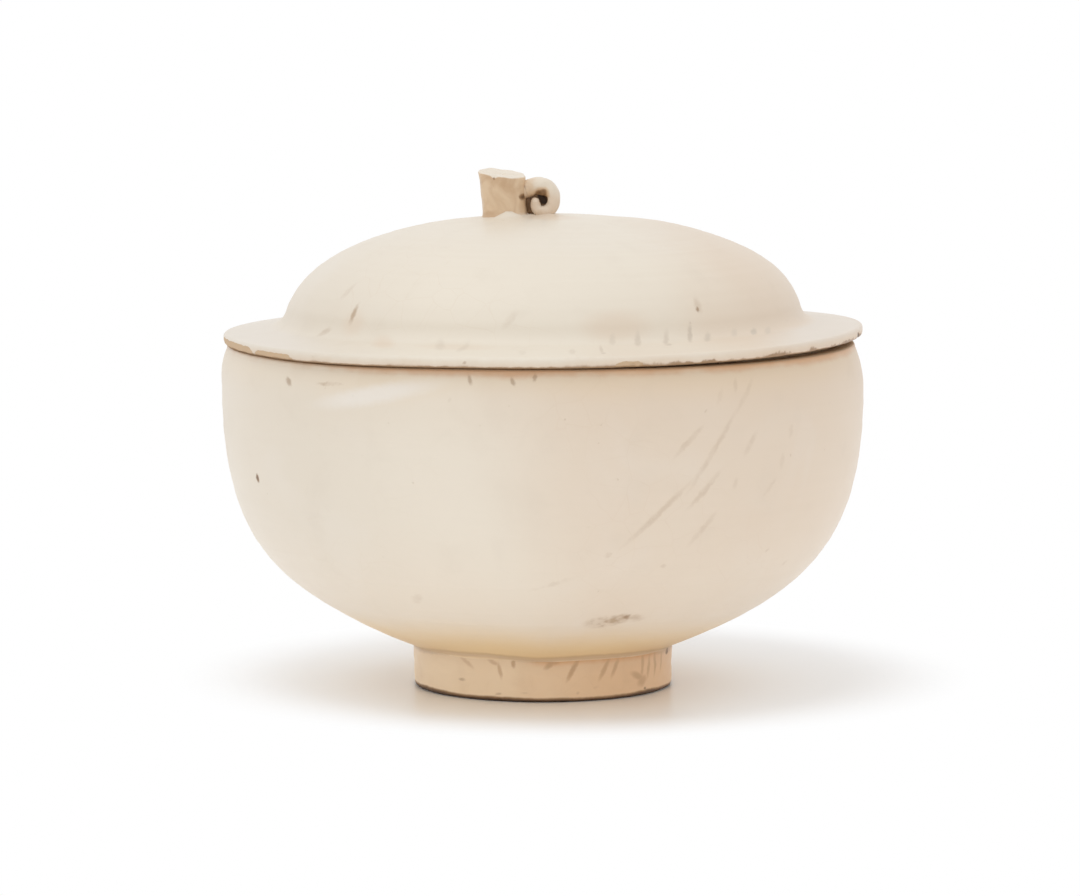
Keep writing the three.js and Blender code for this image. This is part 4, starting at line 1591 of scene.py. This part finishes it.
def make_sky(studio):
    """Even light from all round, white where it is seen."""
    world = bpy.data.worlds.new("studio")
    world.use_nodes = True
    paint = Paint(world.node_tree)
    strength = studio.sky + seen_directly(paint) * (1.0 - studio.sky)
    paint.connect(world.node_tree.nodes["Background"], {"Color": WHITE, "Strength": strength})
    bpy.context.scene.world = world


def aimed(name, data, place, target):
    """Object for a lamp or camera at a place, looking at a target."""
    made = bpy.data.objects.new(name, data)
    made.location = place
    made.rotation_euler = (Vector(target) - Vector(place)).to_track_quat("-Z", "Y").to_euler()
    bpy.context.scene.collection.objects.link(made)
    return made


def make_lamp(name, power, width, place, target):
    """Large soft lamp that isn't itself in the picture."""
    lamp = bpy.data.lights.new(name, "AREA")
    lamp.size = width
    lamp.energy = power
    aimed(name, lamp, place, target).visible_camera = False


def make_camera(studio):
    """Camera at the photographed angle."""
    camera = bpy.data.cameras.new("camera")
    camera.lens = studio.lens
    camera.sensor_width = SENSOR_WIDTH
    camera.clip_start = NEAREST_SEEN
    place = (studio.camera_side, -studio.camera_back, studio.camera_height)
    target = (studio.camera_side, 0.0, studio.aim_height)
    bpy.context.scene.camera = aimed("camera", camera, place, target)


class COVEREDBOWL_OT_stage(bpy.types.Operator):
    """Make the floor, the light and the camera"""

    bl_idname = "covered_bowl.stage"
    bl_label = "Stage"

    def execute(self, context):
        studio = context.scene.covered_bowl.studio
        make_camera(studio)
        make_floor(studio)
        make_sky(studio)
        make_lamp("overhead", studio.lamp_power, studio.lamp_width, LAMP_PLACE, LAMP_TARGET)
        make_lamp("light_table", studio.table_power, studio.table_width, TABLE_PLACE, TABLE_TARGET)
        context.scene.view_settings.view_transform = "Standard"
        return {"FINISHED"}


# Add-on

OPERATORS = (
    COVEREDBOWL_OT_stage,
    COVEREDBOWL_OT_foot_ring,
    COVEREDBOWL_OT_bowl,
    COVEREDBOWL_OT_cover,
    COVEREDBOWL_OT_collar,
    COVEREDBOWL_OT_stalk,
    COVEREDBOWL_OT_tendril,
)


class COVEREDBOWL_PT_pieces(bpy.types.Panel):
    """Pieces of the covered bowl and their settings"""

    bl_idname = "COVEREDBOWL_PT_pieces"
    bl_label = "Covered bowl"
    bl_space_type = "VIEW_3D"
    bl_region_type = "UI"
    bl_category = "Covered bowl"

    def draw(self, context):
        settings = context.scene.covered_bowl
        for operator in OPERATORS:
            self.layout.operator(operator.bl_idname)
        for group in CoveredBowlSettings.__annotations__:
            box = self.layout.box()
            box.label(text=group.capitalize())
            for name in getattr(settings, group).__annotations__:
                box.prop(getattr(settings, group), name)


CLASSES = (
    FootSizes,
    BowlSizes,
    CoverSizes,
    KnobSizes,
    GlazeColours,
    StudioSettings,
    CoveredBowlSettings,
    *OPERATORS,
    COVEREDBOWL_PT_pieces,
)


def register():
    for item in CLASSES:
        bpy.utils.register_class(item)
    bpy.types.Scene.covered_bowl = PointerProperty(type=CoveredBowlSettings)


def unregister():
    del bpy.types.Scene.covered_bowl
    for item in reversed(CLASSES):
        bpy.utils.unregister_class(item)


def main():
    """Makes the stage and all pieces."""
    register()
    bpy.ops.covered_bowl.stage()
    bpy.ops.covered_bowl.foot_ring()
    bpy.ops.covered_bowl.bowl()
    bpy.ops.covered_bowl.cover()
    bpy.ops.covered_bowl.collar()
    bpy.ops.covered_bowl.stalk()
    bpy.ops.covered_bowl.tendril()


if __name__ == "__main__":
    main()
